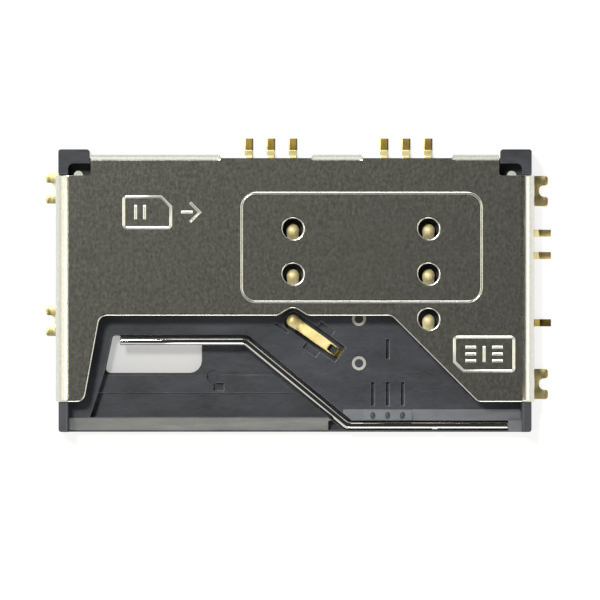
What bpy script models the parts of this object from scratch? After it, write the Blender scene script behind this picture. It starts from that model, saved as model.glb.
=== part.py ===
# Sim card socket for a plug-in card of 25 x 15 mm: a moulded housing under a folded sheet cover, six spring
# contacts, a card switch in the right wall, four solder tabs and a sprung wire over a window in the floor.
# Metres, +X to the right, +Y towards the rear terminals, +Z up off the circuit board. The board is z = 0.

import math

import bmesh
import bpy
from mathutils import Matrix, Vector

MM = 0.001

# The card, and the room round it
CARD_WIDTH = 25.0 * MM
CARD_LENGTH = 15.0 * MM
CARD_SIDE_GAP = 0.25 * MM
CARD_END_GAP = 0.07 * MM
CARD_ROOM = 0.95 * MM
CARD_STOP_Y = 7.2 * MM

# Places of the card's pads, from its right edge and its rear edge
PAD_EDGE_X = 5.0 * MM
PAD_EDGE_Y = 3.6 * MM
PAD_PITCH_X = 7.62 * MM
PAD_PITCH_Y = 2.54 * MM

# Housing
FLOOR_TOP = 0.85 * MM
SIDE_WALL = 0.55 * MM
REAR_WALL = 0.3 * MM
FRONT_LIP = 0.03 * MM
WALL_TO_COVER = 0.04 * MM
WALL_CHAMFER = 0.45 * MM
POST_WIDTH = 1.75 * MM
POST_DEPTH = 1.39 * MM
POST_REACH = 0.49 * MM
POST_BELOW_COVER_TOP = 0.05 * MM
ROOM_CORNER = 0.3 * MM
BODY_CORNER = 0.15 * MM

# Cover
SHEET = 0.15 * MM
COVER_GAP = 0.02 * MM
COVER_REAR_GAP = 0.05 * MM
SIDE_BEND = 0.75 * MM
REAR_BEND = 0.28 * MM
SIDE_FLANGE_Z = 0.55 * MM
REAR_FLANGE_Z = 1.0 * MM
POST_NOTCH_GAP = 0.08 * MM
NOTCH_TONGUE_X = 0.7 * MM
NOTCH_TONGUE_WIDTH = 0.56 * MM
NOTCH_TONGUE_REACH = 0.17 * MM
REAR_GAP_LEFT_FROM = 4.04 * MM
REAR_GAP_LEFT_TO = 0.85 * MM
REAR_GAP_RIGHT_FROM = 3.57 * MM
REAR_GAP_RIGHT_TO = 1.21 * MM
LEG_END = 1.7 * MM
LEG_WIDTH = 1.62 * MM
LEG_TAPER = 0.88 * MM
OPENING_PAST_PAD = 0.19 * MM
OPENING_CORNER = 0.5 * MM
OPENING_SLANT_X = 2.07 * MM
OPENING_SLANT_ANGLE = math.radians(45)
TIP_BUMP_WIDTH = 2.0 * MM
TIP_BUMP_DEPTH = 0.43 * MM
SIGHT_HOLE_RADIUS = 0.585 * MM
COIN_RADIUS = 0.72 * MM
COIN_DEPTH = 0.06 * MM
GROOVE_WIDTH = 0.15 * MM
GROOVE_DEPTH = 0.04 * MM
PANEL_MARGIN_X = 3.0 * MM
PANEL_MARGIN_Y = 2.07 * MM
PANEL_PAST_ROW = 0.37 * MM
PANEL_CORNER = 0.8 * MM
ICON_WIDTH = 3.48 * MM
ICON_HEIGHT = 2.04 * MM
ICON_EDGE_X = 0.36 * MM
ICON_FRONT = 3.36 * MM
ICON_CUT = 0.52 * MM
ICON_CORNER = 0.22 * MM

# Lugs on the housing's sides, in windows of the cover's flanges
LUG_LENGTH = 0.8 * MM
LUG_HEIGHT = 0.3 * MM
LUG_Z = 1.0 * MM
LUG_REACH = 0.13 * MM
LUG_GAP = 0.04 * MM
LUG_LEFT_REAR = 3.7 * MM
LUG_LEFT_FRONT = 3.3 * MM
LUG_RIGHT_REAR = 2.85 * MM
LUG_RIGHT_FRONT = 4.4 * MM

# Contacts
CONTACT_SHEET = 0.12 * MM
LEAD_Z = 0.3 * MM
LEAD_WIDTH = 0.4 * MM
LEAD_GAP = 0.02 * MM
TIP_Z = 1.34 * MM
TIP_RADIUS = 0.32 * MM
TIP_CROWN = 0.07 * MM
TIP_SET_BACK = 0.1 * MM
NOSE_DROP = 0.16 * MM
BEAM_WIDTH = 0.58 * MM
BEAM_RUN = 1.5 * MM
LEAD_TURN = 0.2 * MM
EYE_LENGTH = 0.6 * MM
EYE_WIDTH = 0.32 * MM
EYE_FROM_ROOT = 0.32 * MM
SLANT_BEAM_RUN = 3.28 * MM
SLANT_BEAM_ANGLE = math.radians(-35.6)
POCKET_WIDTH = 0.9 * MM
SLANT_POCKET_WIDTH = 1.05 * MM
WING_FROM_TIP = 1.3 * MM
WING_LENGTH = 0.95 * MM
WING_SPAN = 1.84 * MM
WING_DEPTH = 0.2 * MM
RELIEF_LENGTH = 0.9 * MM
RELIEF_WIDTH = 0.14 * MM
RELIEF_FROM_AXIS = 0.7 * MM
POCKET_NOSE_GAP = 0.12 * MM
POCKET_FLOOR = 0.2 * MM

# Rear terminals
TERMINAL_WIDTH = 0.48 * MM
TERMINAL_REACH = 1.12 * MM
TERMINAL_BEND = 0.07 * MM
TERMINAL_SLOPE = 0.4 * MM
TERMINAL_PITCH = 1.24 * MM

# Card switch in the right wall
SWITCH_SHEET = 0.1 * MM
SWITCH_WIDTH = 0.4 * MM
SWITCH_REACH = 1.12 * MM
SWITCH_POCKET_MARGIN = 0.43 * MM
SWITCH_POCKET_FLOOR = 0.38 * MM
SWITCH_SKIN = 0.16 * MM
LEAF_FROM_MIDDLE = 1.41 * MM
LEAF_LOW = 0.92 * MM
LEAF_HIGH = 1.5 * MM
LEAF_INSET = 0.06 * MM
LEAF_BULGE = 0.35 * MM
FIXED_FROM_MIDDLE = 2.38 * MM
FIXED_PITCH = 1.26 * MM
FIXED_GAP = 0.08 * MM

# Solder tabs
TAB_SHEET = 0.12 * MM
TAB_TOE = 0.54 * MM
TAB_PITCH = 1.17 * MM
TAB_NOTCH_DEPTH = 0.5 * MM
TAB_REACH_LEFT = 0.74 * MM
TAB_REACH_RIGHT = 0.95 * MM
TAB_BEND = 0.16 * MM
TAB_INSET = 0.18 * MM
TAB_RISE = 1.1 * MM
TAB_LEG_WIDTH = 1.1 * MM
TAB_GAP = 0.02 * MM
TAB_LEFT_REAR = 1.39 * MM
TAB_LEFT_FRONT = 6.25 * MM
TAB_RIGHT_REAR = 1.54 * MM
TAB_RIGHT_FRONT = 2.69 * MM

# Sprung wire, its window and its pocket
WIRE_RADIUS = 0.24 * MM
WIRE_FRONT = 0.37 * MM
WIRE_LEG_Z = 0.5 * MM
WIRE_LIFT = 0.48 * MM
WIRE_ARM = 4.74 * MM
WIRE_SLANT = math.radians(39.5)
WIRE_END_GAP = 2.92 * MM
WIRE_BEND_X = 2.68 * MM
WIRE_BEND_RADIUS = 0.6 * MM
WIRE_IN_WALL = 0.25 * MM
WIRE_BORE_GAP = 0.03 * MM
WIRE_SIDE_GAP = 0.12 * MM
PIT_FLOOR = 0.2 * MM
PIT_STEP = 0.1 * MM
PIT_STEP_FRONT = 2.2 * MM
PIT_STEP_REAR = 3.2 * MM
PIT_LEFT_FRONT = 1.2 * MM
PIT_FRONT = 0.82 * MM
WINDOW_LEFT = 2.05 * MM
WINDOW_LEAN = 0.45 * MM
WINDOW_TO_BEND = 2.45 * MM
WINDOW_FRONT = 3.32 * MM
WINDOW_CORNER = 0.7 * MM
WINDOW_LEFT_CORNER = 0.25 * MM
WINDOW_REAR_CORNER = 0.12 * MM
WINDOW_NOTCH_PAST_END = 0.02 * MM
WINDOW_LEDGE = 0.05 * MM

# Front ramps and small forms of the floor
PIN_MARK_RADIUS = 0.36 * MM
PIN_MARK_DEPTH = 0.06 * MM
PIN_MARK_FROM_WINDOW = 0.65 * MM
PIN_MARK_FRONT = 3.1 * MM
WELL_WIDTH = 0.6 * MM
WELL_LENGTH = 0.45 * MM
WELL_DEPTH = 0.12 * MM
WELL_FRONT = 2.31 * MM
RAMP_DROP = 0.4 * MM
RAMP_RUN = 0.68 * MM
RAMP_FRONT = 0.1 * MM
RAMP_SIDE = 0.06 * MM
KEEPER_LENGTH = 0.75 * MM
KEEPER_DEPTH = 0.63 * MM
KEEPER_RISE = 0.02 * MM
SILL_REAR = 1.27 * MM
SILL_DROP = 0.16 * MM
PIP_RADIUS = 0.4 * MM
PIP_HOLE = 0.24 * MM
PIP_HEIGHT = 0.05 * MM
PIP_X = 3.72 * MM
PIP_FRONT = 3.86 * MM
PIP_PITCH = 2.5 * MM
RIB_PITCH = 0.835 * MM
RIB_X = 4.5 * MM
RIB_SLOT_WIDTH = 0.2 * MM
RIB_SLOT_DEPTH = 0.25 * MM
RIB_SLOT_FRONT = 1.47 * MM
RIB_SLOT_REAR = 2.82 * MM
MARK_SLOT_FRONT = 4.11 * MM
MARK_SLOT_REAR = 5.23 * MM
BUMP_FRONT = 0.91 * MM
BUMP_LENGTH = 0.42 * MM
BUMP_WIDTH = 0.3 * MM
BUMP_HEIGHT = 0.07 * MM
BUMP_PAD_MARGIN = 0.54 * MM
BUMP_PAD_FRONT = 0.68 * MM
BUMP_PAD_REAR = 1.24 * MM
BUMP_PAD_RISE = 0.02 * MM
LIP_GAP_X = 8.0 * MM
LIP_GAP_WIDTH = 0.3 * MM

# Facets
ARC_STEPS = 4
HOLE_SIDES = 24
BEND_STEPS = 4
WELD = 1e-7

# Worked out from the sizes above
INNER_X = CARD_WIDTH / 2 + CARD_SIDE_GAP
BODY_X = INNER_X + SIDE_WALL
REAR_Y = CARD_STOP_Y + REAR_WALL
CARD_REAR_Y = CARD_STOP_Y - CARD_END_GAP
FRONT_Y = CARD_REAR_Y - CARD_LENGTH - FRONT_LIP
COVER_UNDER = FLOOR_TOP + CARD_ROOM
COVER_TOP = COVER_UNDER + SHEET
WALL_TOP = COVER_UNDER - WALL_TO_COVER
POST_TOP = COVER_TOP - POST_BELOW_COVER_TOP
POST_X = BODY_X - POST_WIDTH
POST_REAR_Y = REAR_Y + POST_REACH
POST_FRONT_Y = POST_REAR_Y - POST_DEPTH
COVER_X = BODY_X + COVER_GAP + SHEET
COVER_REAR_Y = REAR_Y + COVER_REAR_GAP + SHEET
PAD_X_RIGHT = CARD_WIDTH / 2 - PAD_EDGE_X
PAD_X_LEFT = PAD_X_RIGHT - PAD_PITCH_X
PAD_Y = tuple(CARD_REAR_Y - PAD_EDGE_Y - row * PAD_PITCH_Y for row in range(3))
LEG_Y = FRONT_Y + WIRE_FRONT
BAR_Y = LEG_Y + WIRE_ARM
BAR_Z = WIRE_LEG_Z + WIRE_LIFT
BEND_REAR_X = PAD_X_LEFT - WIRE_BEND_X
BEND_FRONT_X = BEND_REAR_X + WIRE_ARM / math.tan(WIRE_SLANT)
BAR_END_X = -INNER_X + WIRE_END_GAP
PIT_REAR_Y = BAR_Y + WIRE_RADIUS + WIRE_SIDE_GAP
LUGS_LEFT = (CARD_STOP_Y - LUG_LEFT_REAR, FRONT_Y + LUG_LEFT_FRONT)
LUGS_RIGHT = (CARD_STOP_Y - LUG_RIGHT_REAR, FRONT_Y + LUG_RIGHT_FRONT)
TABS_LEFT = (CARD_STOP_Y - TAB_LEFT_REAR, FRONT_Y + TAB_LEFT_FRONT)
TABS_RIGHT = (CARD_STOP_Y - TAB_RIGHT_REAR, FRONT_Y + TAB_RIGHT_FRONT)
SIDE_MIDDLE_Y = (CARD_STOP_Y + FRONT_Y) / 2
LEAF_Y = SIDE_MIDDLE_Y - LEAF_FROM_MIDDLE
FIXED_FIRST_Y = SIDE_MIDDLE_Y + FIXED_FROM_MIDDLE
FIXED_SECOND_Y = FIXED_FIRST_Y + FIXED_PITCH
PAST = 1.0 * MM

NAVY = (0.016, 0.019, 0.028)
STEEL = (0.42, 0.42, 0.38)
SPRING = (0.62, 0.62, 0.60)
GOLD = (0.62, 0.45, 0.17)


def clear_scene():
    for obj in list(bpy.data.objects):
        bpy.data.objects.remove(obj, do_unlink=True)
    for group in list(bpy.data.collections):
        bpy.data.collections.remove(group)


def new_collection(name):
    group = bpy.data.collections.new(name)
    bpy.context.scene.collection.children.link(group)
    return group


def new_material(name, colour, roughness, metallic):
    material = bpy.data.materials.new(name)
    material.use_nodes = True
    shader = material.node_tree.nodes["Principled BSDF"]
    shader.inputs["Base Color"].default_value = (*colour, 1.0)
    shader.inputs["Roughness"].default_value = roughness
    shader.inputs["Metallic"].default_value = metallic
    return material


def new_object(name, mesh, group):
    obj = bpy.data.objects.new(name, mesh)
    group.objects.link(obj)
    return obj


def mesh_from(bm, name):
    bmesh.ops.recalc_face_normals(bm, faces=bm.faces)
    mesh = bpy.data.meshes.new(name)
    bm.to_mesh(mesh)
    bm.free()
    return mesh


def as_helper(obj):
    obj.hide_render = True
    obj.display_type = "WIRE"
    return obj


# A corner is (x, y, radius). A radius of 0 leaves it sharp.
def rounded(corners):
    points = []
    count = len(corners)
    for i, (x, y, radius) in enumerate(corners):
        here = Vector((x, y))
        if radius <= 0:
            points.append(here)
            continue
        before = (Vector(corners[i - 1][:2]) - here).normalized()
        after = (Vector(corners[(i + 1) % count][:2]) - here).normalized()
        half = before.angle(after) / 2
        reach = radius / math.tan(half)
        centre = here + (before + after).normalized() * radius / math.sin(half)
        first = here + before * reach - centre
        last = here + after * reach - centre
        start = math.atan2(first.y, first.x)
        sweep = math.atan2(last.y, last.x) - start
        sweep = (sweep + math.pi) % (2 * math.pi) - math.pi
        for step in range(ARC_STEPS + 1):
            angle = start + sweep * step / ARC_STEPS
            points.append(centre + radius * Vector((math.cos(angle), math.sin(angle))))
    return points


def circle(x, y, radius):
    turns = [2 * math.pi * side / HOLE_SIDES for side in range(HOLE_SIDES)]
    return [Vector((x + radius * math.cos(turn), y + radius * math.sin(turn))) for turn in turns]


def rectangle(left, front, right, rear, radius=0.0):
    return rounded([(left, front, radius), (right, front, radius), (right, rear, radius), (left, rear, radius)])


# The area inside the first outline and outside the others, flat at z = 0 or with a thickness
def filled_mesh(name, outlines, thickness):
    curve = bpy.data.curves.new(name, "CURVE")
    curve.dimensions = "2D"
    curve.fill_mode = "BOTH"
    curve.extrude = thickness / 2
    for outline in outlines:
        spline = curve.splines.new("POLY")
        spline.points.add(len(outline) - 1)
        for point, place in zip(spline.points, outline):
            point.co = (place.x, place.y, 0, 1)
        spline.use_cyclic_u = True
    drawn = new_object(name, curve, bpy.context.scene.collection)
    mesh = mesh_of_curve(drawn)
    return mesh


def mesh_of_curve(drawn):
    graph = bpy.context.evaluated_depsgraph_get()
    mesh = bpy.data.meshes.new_from_object(drawn.evaluated_get(graph))
    bm = bmesh.new()
    bm.from_mesh(mesh)
    bmesh.ops.remove_doubles(bm, verts=bm.verts, dist=WELD)
    bmesh.ops.dissolve_degenerate(bm, edges=bm.edges, dist=WELD)
    bm.to_mesh(mesh)
    bm.free()
    curve = drawn.data
    bpy.data.objects.remove(drawn)
    bpy.data.curves.remove(curve)
    return mesh


def plate(name, outlines, low, high, group):
    mesh = filled_mesh(name, outlines, high - low)
    mesh.transform(Matrix.Translation((0, 0, (low + high) / 2)))
    return new_object(name, mesh, group)


# A profile in X and Z, drawn out along Y
def bar_along_y(name, outline, front, rear, group):
    mesh = filled_mesh(name, [outline], rear - front)
    turn = Matrix.Rotation(math.pi / 2, 4, "X")
    mesh.transform(Matrix.Translation((0, (front + rear) / 2, 0)) @ turn)
    return new_object(name, mesh, group)


# A profile in Y and Z, drawn out along X
def bar_along_x(name, outline, left, right, group):
    mesh = filled_mesh(name, [outline], right - left)
    turn = Matrix.Rotation(math.pi / 2, 4, "Z") @ Matrix.Rotation(math.pi / 2, 4, "X")
    mesh.transform(Matrix.Translation(((left + right) / 2, 0, 0)) @ turn)
    return new_object(name, mesh, group)


def box(name, low, high, group):
    bm = bmesh.new()
    bmesh.ops.create_cube(bm, size=1.0)
    low, high = Vector(low), Vector(high)
    bmesh.ops.scale(bm, verts=bm.verts, vec=high - low)
    bmesh.ops.translate(bm, verts=bm.verts, vec=(low + high) / 2)
    return new_object(name, mesh_from(bm, name), group)


def cone(name, centre, low_radius, high_radius, height, sides, group):
    bm = bmesh.new()
    bmesh.ops.create_cone(
        bm, cap_ends=True, segments=sides, radius1=low_radius, radius2=high_radius, depth=height
    )
    bmesh.ops.translate(bm, verts=bm.verts, vec=centre)
    return new_object(name, mesh_from(bm, name), group)


# Directions across a route in X and Y, lengthened at its corners so that the strip keeps its width
def across_route(places):
    sides = []
    for i, place in enumerate(places):
        steps = []
        if i > 0:
            steps.append((place - places[i - 1]).xy)
        if i < len(places) - 1:
            steps.append((places[i + 1] - place).xy)
        normals = [Vector((-step.y, step.x)).normalized() for step in steps]
        middle = sum(normals, Vector((0, 0))).normalized()
        sides.append((middle / middle.dot(normals[0])).to_3d())
    return sides


# An open strip through stations of (place, width, crown). Its sides lie across the route, or along one direction.
def ribbon_mesh(name, stations, cells, side=None):
    places = [Vector(station[0]) for station in stations]
    sides = [Vector(side)] * len(places) if side else across_route(places)
    bm = bmesh.new()
    rows = []
    for place, across, (_, width, crown) in zip(places, sides, stations):
        row = []
        for cell in range(cells + 1):
            share = 2 * cell / cells - 1
            rise = Vector((0, 0, crown * (1 - share * share)))
            row.append(bm.verts.new(place + across * (width / 2 * share) + rise))
        rows.append(row)
    for one, two in zip(rows, rows[1:]):
        for cell in range(cells):
            bm.faces.new((one[cell], one[cell + 1], two[cell + 1], two[cell]))
    return mesh_from(bm, name)


def ribbon(name, stations, thickness, group, cells=2, side=None):
    obj = new_object(name, ribbon_mesh(name, stations, cells, side), group)
    wall = obj.modifiers.new("sheet", "SOLIDIFY")
    wall.thickness = thickness
    wall.offset = 0
    wall.use_even_offset = True
    return obj


# A strip of one width along a route in X and Y, standing from low to high
def strip(name, route, width, low, high, group):
    stations = [((x, y, low), width, 0) for x, y in route]
    bm = bmesh.new()
    flat = ribbon_mesh(name, stations, 1)
    bm.from_mesh(flat)
    bpy.data.meshes.remove(flat)
    raised = bmesh.ops.extrude_face_region(bm, geom=bm.faces[:])["geom"]
    tops = [item for item in raised if isinstance(item, bmesh.types.BMVert)]
    bmesh.ops.translate(bm, verts=tops, vec=(0, 0, high - low))
    return new_object(name, mesh_from(bm, name), group)


def boolean(obj, other, operation):
    step = obj.modifiers.new(other.name, "BOOLEAN")
    step.operation = operation
    step.solver = "EXACT"
    step.object = as_helper(other)


def cut(obj, *others):
    for other in others:
        boolean(obj, other, "DIFFERENCE")


def join(obj, *others):
    for other in others:
        boolean(obj, other, "UNION")


def finish(obj, material, smooth_degrees=0):
    obj.data.materials.clear()
    obj.data.materials.append(material)
    if smooth_degrees:
        obj.data.shade_smooth()
        obj.data.set_sharp_from_angle(angle=math.radians(smooth_degrees))


# Folds what lies past a line of the flat sheet. The sheet keeps its length round the bend.
def fold(bm, axis, sign, line, radius, turn):
    quarter = radius * math.pi / 2
    for step in range(BEND_STEPS + 1):
        place = Vector((0, 0, 0))
        place[axis] = sign * (line + quarter * step / BEND_STEPS)
        normal = Vector((0, 0, 0))
        normal[axis] = 1
        everything = bm.verts[:] + bm.edges[:] + bm.faces[:]
        bmesh.ops.bisect_plane(bm, geom=everything, dist=WELD, plane_co=place, plane_no=normal)
    for vert in bm.verts:
        past = sign * vert.co[axis] - line
        if past <= 0:
            continue
        angle = min(past, quarter) / radius
        straight = max(past - quarter, 0)
        vert.co[axis] = sign * (line + radius * math.sin(angle))
        vert.co.z += turn * (radius * (1 - math.cos(angle)) + straight)


# Housing

def housing_block(group):
    outline = rounded([
        (-BODY_X, FRONT_Y, BODY_CORNER),
        (BODY_X, FRONT_Y, BODY_CORNER),
        (BODY_X, POST_REAR_Y, BODY_CORNER),
        (POST_X, POST_REAR_Y, BODY_CORNER),
        (POST_X, REAR_Y, 0),
        (-POST_X, REAR_Y, 0),
        (-POST_X, POST_REAR_Y, BODY_CORNER),
        (-BODY_X, POST_REAR_Y, BODY_CORNER),
    ])
    return plate("housing", [outline], 0, POST_TOP, group)


# Takes the walls down to the cover's underside, and leaves the rear posts standing
def above_walls(group):
    outline = rounded([
        (-BODY_X - PAST, FRONT_Y - PAST, 0),
        (BODY_X + PAST, FRONT_Y - PAST, 0),
        (BODY_X + PAST, POST_FRONT_Y, 0),
        (POST_X, POST_FRONT_Y, 0),
        (POST_X, POST_REAR_Y + PAST, 0),
        (-POST_X, POST_REAR_Y + PAST, 0),
        (-POST_X, POST_FRONT_Y, 0),
        (-BODY_X - PAST, POST_FRONT_Y, 0),
    ])
    return plate("above_walls", [outline], WALL_TOP, POST_TOP + PAST, group)


def card_room(group):
    outline = rounded([
        (-INNER_X, FRONT_Y - PAST, 0),
        (INNER_X, FRONT_Y - PAST, 0),
        (INNER_X, CARD_STOP_Y, ROOM_CORNER),
        (-INNER_X, CARD_STOP_Y, ROOM_CORNER),
    ])
    return plate("card_room", [outline], FLOOR_TOP, POST_TOP + PAST, group)


# Chamfers that leave room for the inside of the cover's side bends
def wall_chamfers(group):
    made = []
    for side, name in ((-1, "left"), (1, "right")):
        outline = [
            Vector((side * (BODY_X - WALL_CHAMFER), WALL_TOP)),
            Vector((side * (BODY_X - WALL_CHAMFER), WALL_TOP + WALL_CHAMFER)),
            Vector((side * (BODY_X + WALL_CHAMFER), WALL_TOP + WALL_CHAMFER)),
            Vector((side * (BODY_X + WALL_CHAMFER), WALL_TOP - 2 * WALL_CHAMFER)),
        ]
        made.append(bar_along_y(f"chamfer_{name}", outline, FRONT_Y - PAST, POST_FRONT_Y, group))
    return made


def window_corners():
    left = -INNER_X + WINDOW_LEFT
    right = BEND_REAR_X - WINDOW_TO_BEND
    front = FRONT_Y + WINDOW_FRONT
    return left, right, front


# The window opens behind the wire's free end only; beside that notch its rear edge lies under the bar
def floor_window(group):
    left, right, front = window_corners()
    notch = BAR_END_X + WINDOW_NOTCH_PAST_END
    rear = PIT_REAR_Y - WINDOW_LEDGE
    outline = rounded([
        (left, front, WINDOW_LEFT_CORNER),
        (right, front, WINDOW_CORNER),
        (right, BAR_Y, WINDOW_REAR_CORNER),
        (notch, BAR_Y, 0),
        (notch, rear, WINDOW_REAR_CORNER),
        (left + WINDOW_LEAN, rear, WINDOW_REAR_CORNER),
    ])
    return plate("floor_window", [outline], -PAST, FLOOR_TOP + PAST, group)


# The pit that the wire swings in: it lies behind the front ramp, and a lane of it follows the slanted arm
def wire_pit(group):
    side = (WIRE_RADIUS + WIRE_SIDE_GAP) / math.cos(WIRE_SLANT / 2)
    shift = side * math.sin(WIRE_SLANT / 2)
    front = FRONT_Y + PIT_FRONT
    arm_x = BEND_REAR_X + (BAR_Y - front) / math.tan(WIRE_SLANT)
    lane = (WIRE_RADIUS + WIRE_SIDE_GAP) / math.sin(WIRE_SLANT)
    outline = rounded([
        (-INNER_X + PIT_LEFT_FRONT, front, 0),
        (arm_x - lane, front, 0),
        (BEND_FRONT_X - lane, LEG_Y, 0),
        (BEND_FRONT_X + lane, LEG_Y, 0),
        (BEND_REAR_X + shift, PIT_REAR_Y, WIRE_BEND_RADIUS),
        (-INNER_X + WINDOW_LEFT + WINDOW_LEAN - WINDOW_LEDGE, PIT_REAR_Y, 0),
        (-INNER_X + WINDOW_LEFT - WINDOW_LEDGE, FRONT_Y + WINDOW_FRONT, 0),
    ])
    return plate("wire_pit", [outline], PIT_FLOOR, FLOOR_TOP + PAST, group)


# A low step left on the pit's floor, in front of the window
def pit_step(group):
    left = -INNER_X + PIT_LEFT_FRONT - PAST / 4
    front = FRONT_Y + PIT_STEP_FRONT
    rear = FRONT_Y + PIT_STEP_REAR
    lane = (WIRE_RADIUS + 2 * WIRE_SIDE_GAP) / math.sin(WIRE_SLANT)
    front_right = BEND_REAR_X + (BAR_Y - front) / math.tan(WIRE_SLANT) - lane
    rear_right = BEND_REAR_X + (BAR_Y - rear) / math.tan(WIRE_SLANT) - lane
    outline = rounded([(left, front, 0), (front_right, front, 0), (rear_right, rear, 0), (left, rear, 0)])
    return plate("pit_step", [outline], PIT_FLOOR / 2, PIT_FLOOR + PIT_STEP, group)


# The round mark of an ejector pin, half on the step, and a small square well in front of it
def pit_marks(group):
    x = window_corners()[1] + PIN_MARK_FROM_WINDOW
    top = PIT_FLOOR + PIT_STEP + PAST / 4
    ring = circle(x, FRONT_Y + PIN_MARK_FRONT, PIN_MARK_RADIUS)
    mark = plate("pin_mark", [ring], PIT_FLOOR - PIN_MARK_DEPTH, top, group)
    front = FRONT_Y + WELL_FRONT
    well = box("well", (x, front, PIT_FLOOR - WELL_DEPTH), (x + WELL_WIDTH, front + WELL_LENGTH, top), group)
    return mark, well


def front_ramp(group):
    start = FRONT_Y + RAMP_FRONT
    outline = [
        Vector((FRONT_Y - PAST, FLOOR_TOP - RAMP_DROP)),
        Vector((start, FLOOR_TOP - RAMP_DROP)),
        Vector((start + RAMP_RUN, FLOOR_TOP)),
        Vector((start + RAMP_RUN, FLOOR_TOP + PAST / 2)),
        Vector((FRONT_Y - PAST, FLOOR_TOP + PAST / 2)),
    ]
    return bar_along_x("front_ramp", outline, RAMP_SIDE - INNER_X, BEND_FRONT_X, group)


def sill_ramp(group):
    rear = FRONT_Y + SILL_REAR
    outline = [
        Vector((FRONT_Y - PAST, FLOOR_TOP - SILL_DROP)),
        Vector((LEG_Y, FLOOR_TOP - SILL_DROP)),
        Vector((rear, FLOOR_TOP)),
        Vector((rear, FLOOR_TOP + PAST / 2)),
        Vector((FRONT_Y - PAST, FLOOR_TOP + PAST / 2)),
    ]
    return bar_along_x("sill_ramp", outline, BEND_FRONT_X - WIRE_RADIUS, INNER_X - RAMP_SIDE, group)


# The bridge that keeps the wire's end down, next to the right wall
def wire_keeper(group):
    low = (INNER_X - KEEPER_LENGTH, FRONT_Y + RAMP_SIDE / 2, WIRE_LEG_Z - WIRE_RADIUS)
    high = (INNER_X + SIDE_WALL / 3, FRONT_Y + KEEPER_DEPTH, FLOOR_TOP + KEEPER_RISE)
    return box("wire_keeper", low, high, group)


# Groove of the wire's front leg, and the round hole through the keeper and into the wall that holds its end
def leg_groove(group):
    radius = WIRE_RADIUS + WIRE_BORE_GAP
    left = BEND_FRONT_X - 2 * WIRE_RADIUS - WIRE_BEND_RADIUS
    groove = box(
        "leg_groove",
        (left, LEG_Y - radius, WIRE_LEG_Z - radius),
        (INNER_X - KEEPER_LENGTH, LEG_Y + radius, FLOOR_TOP + PAST),
        group,
    )
    bore = cone("leg_bore", (0, 0, 0), radius, radius, PAST, 16, group)
    length = WIRE_IN_WALL + WIRE_BORE_GAP + KEEPER_LENGTH + radius
    middle = INNER_X + WIRE_IN_WALL + WIRE_BORE_GAP - length / 2
    place = Matrix.Translation((middle, LEG_Y, WIRE_LEG_Z))
    size = Matrix.Diagonal((length / PAST, 1, 1, 1))
    bore.data.transform(place @ size @ Matrix.Rotation(math.pi / 2, 4, "Y"))
    return groove, bore


def floor_marks(group):
    made = []
    first = PAD_X_LEFT + RIB_X
    for i in range(3):
        x = first + i * RIB_PITCH
        low = (x - RIB_SLOT_WIDTH / 2, FRONT_Y + RIB_SLOT_FRONT, FLOOR_TOP - RIB_SLOT_DEPTH)
        high = (x + RIB_SLOT_WIDTH / 2, FRONT_Y + RIB_SLOT_REAR, FLOOR_TOP + PAST)
        made.append(box(f"rib_slot_{i + 1}", low, high, group))
    x = first + RIB_PITCH
    low = (x - RIB_SLOT_WIDTH / 2, FRONT_Y + MARK_SLOT_FRONT, FLOOR_TOP - RIB_SLOT_DEPTH)
    high = (x + RIB_SLOT_WIDTH / 2, FRONT_Y + MARK_SLOT_REAR, FLOOR_TOP + PAST)
    made.append(box("mark_slot", low, high, group))
    return made


def lip_gap(group):
    x = PAD_X_LEFT + LIP_GAP_X
    low = (x - LIP_GAP_WIDTH / 2, FRONT_Y - PAST, WIRE_LEG_Z)
    high = (x + LIP_GAP_WIDTH / 2, LEG_Y, FLOOR_TOP + PAST)
    return box("lip_gap", low, high, group)


def floor_pips(group):
    made = []
    x = PAD_X_LEFT + PIP_X
    for i in range(2):
        y = FRONT_Y + PIP_FRONT + i * PIP_PITCH
        rings = [circle(x, y, PIP_RADIUS), circle(x, y, PIP_HOLE)]
        made.append(plate(f"pip_{i + 1}", rings, FLOOR_TOP - PIP_HEIGHT, FLOOR_TOP + PIP_HEIGHT, group))
    return made


# Three bumps on a low pad of the sill
def sill_bumps(group):
    first = PAD_X_LEFT + RIB_X
    last = first + 2 * RIB_PITCH
    top = FLOOR_TOP + BUMP_PAD_RISE
    low = (first - BUMP_PAD_MARGIN, FRONT_Y + BUMP_PAD_FRONT, FLOOR_TOP - SILL_DROP)
    high = (last + BUMP_PAD_MARGIN, FRONT_Y + BUMP_PAD_REAR, top)
    made = [box("bump_pad", low, high, group)]
    for i in range(3):
        bm = bmesh.new()
        bmesh.ops.create_uvsphere(bm, u_segments=12, v_segments=6, radius=0.5)
        bmesh.ops.scale(bm, verts=bm.verts, vec=(BUMP_WIDTH, BUMP_LENGTH, 2 * BUMP_HEIGHT))
        x = first + i * RIB_PITCH
        bmesh.ops.translate(bm, verts=bm.verts, vec=(x, FRONT_Y + BUMP_FRONT, top))
        made.append(new_object(f"bump_{i + 1}", mesh_from(bm, "bump"), group))
    return made


def side_lugs(group):
    made = []
    low = LUG_Z - LUG_HEIGHT / 2
    high = LUG_Z + LUG_HEIGHT / 2
    for side, places, name in ((-1, LUGS_LEFT, "left"), (1, LUGS_RIGHT, "right")):
        for i, place in enumerate(places):
            outline = [
                Vector((side * (BODY_X - SIDE_WALL / 3), low)),
                Vector((side * (BODY_X + LUG_REACH), low)),
                Vector((side * (BODY_X + LUG_REACH / 3), high)),
                Vector((side * (BODY_X - SIDE_WALL / 3), high)),
            ]
            front = place - LUG_LENGTH / 2
            made.append(bar_along_y(f"lug_{name}_{i + 1}", outline, front, front + LUG_LENGTH, group))
    return made


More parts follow.
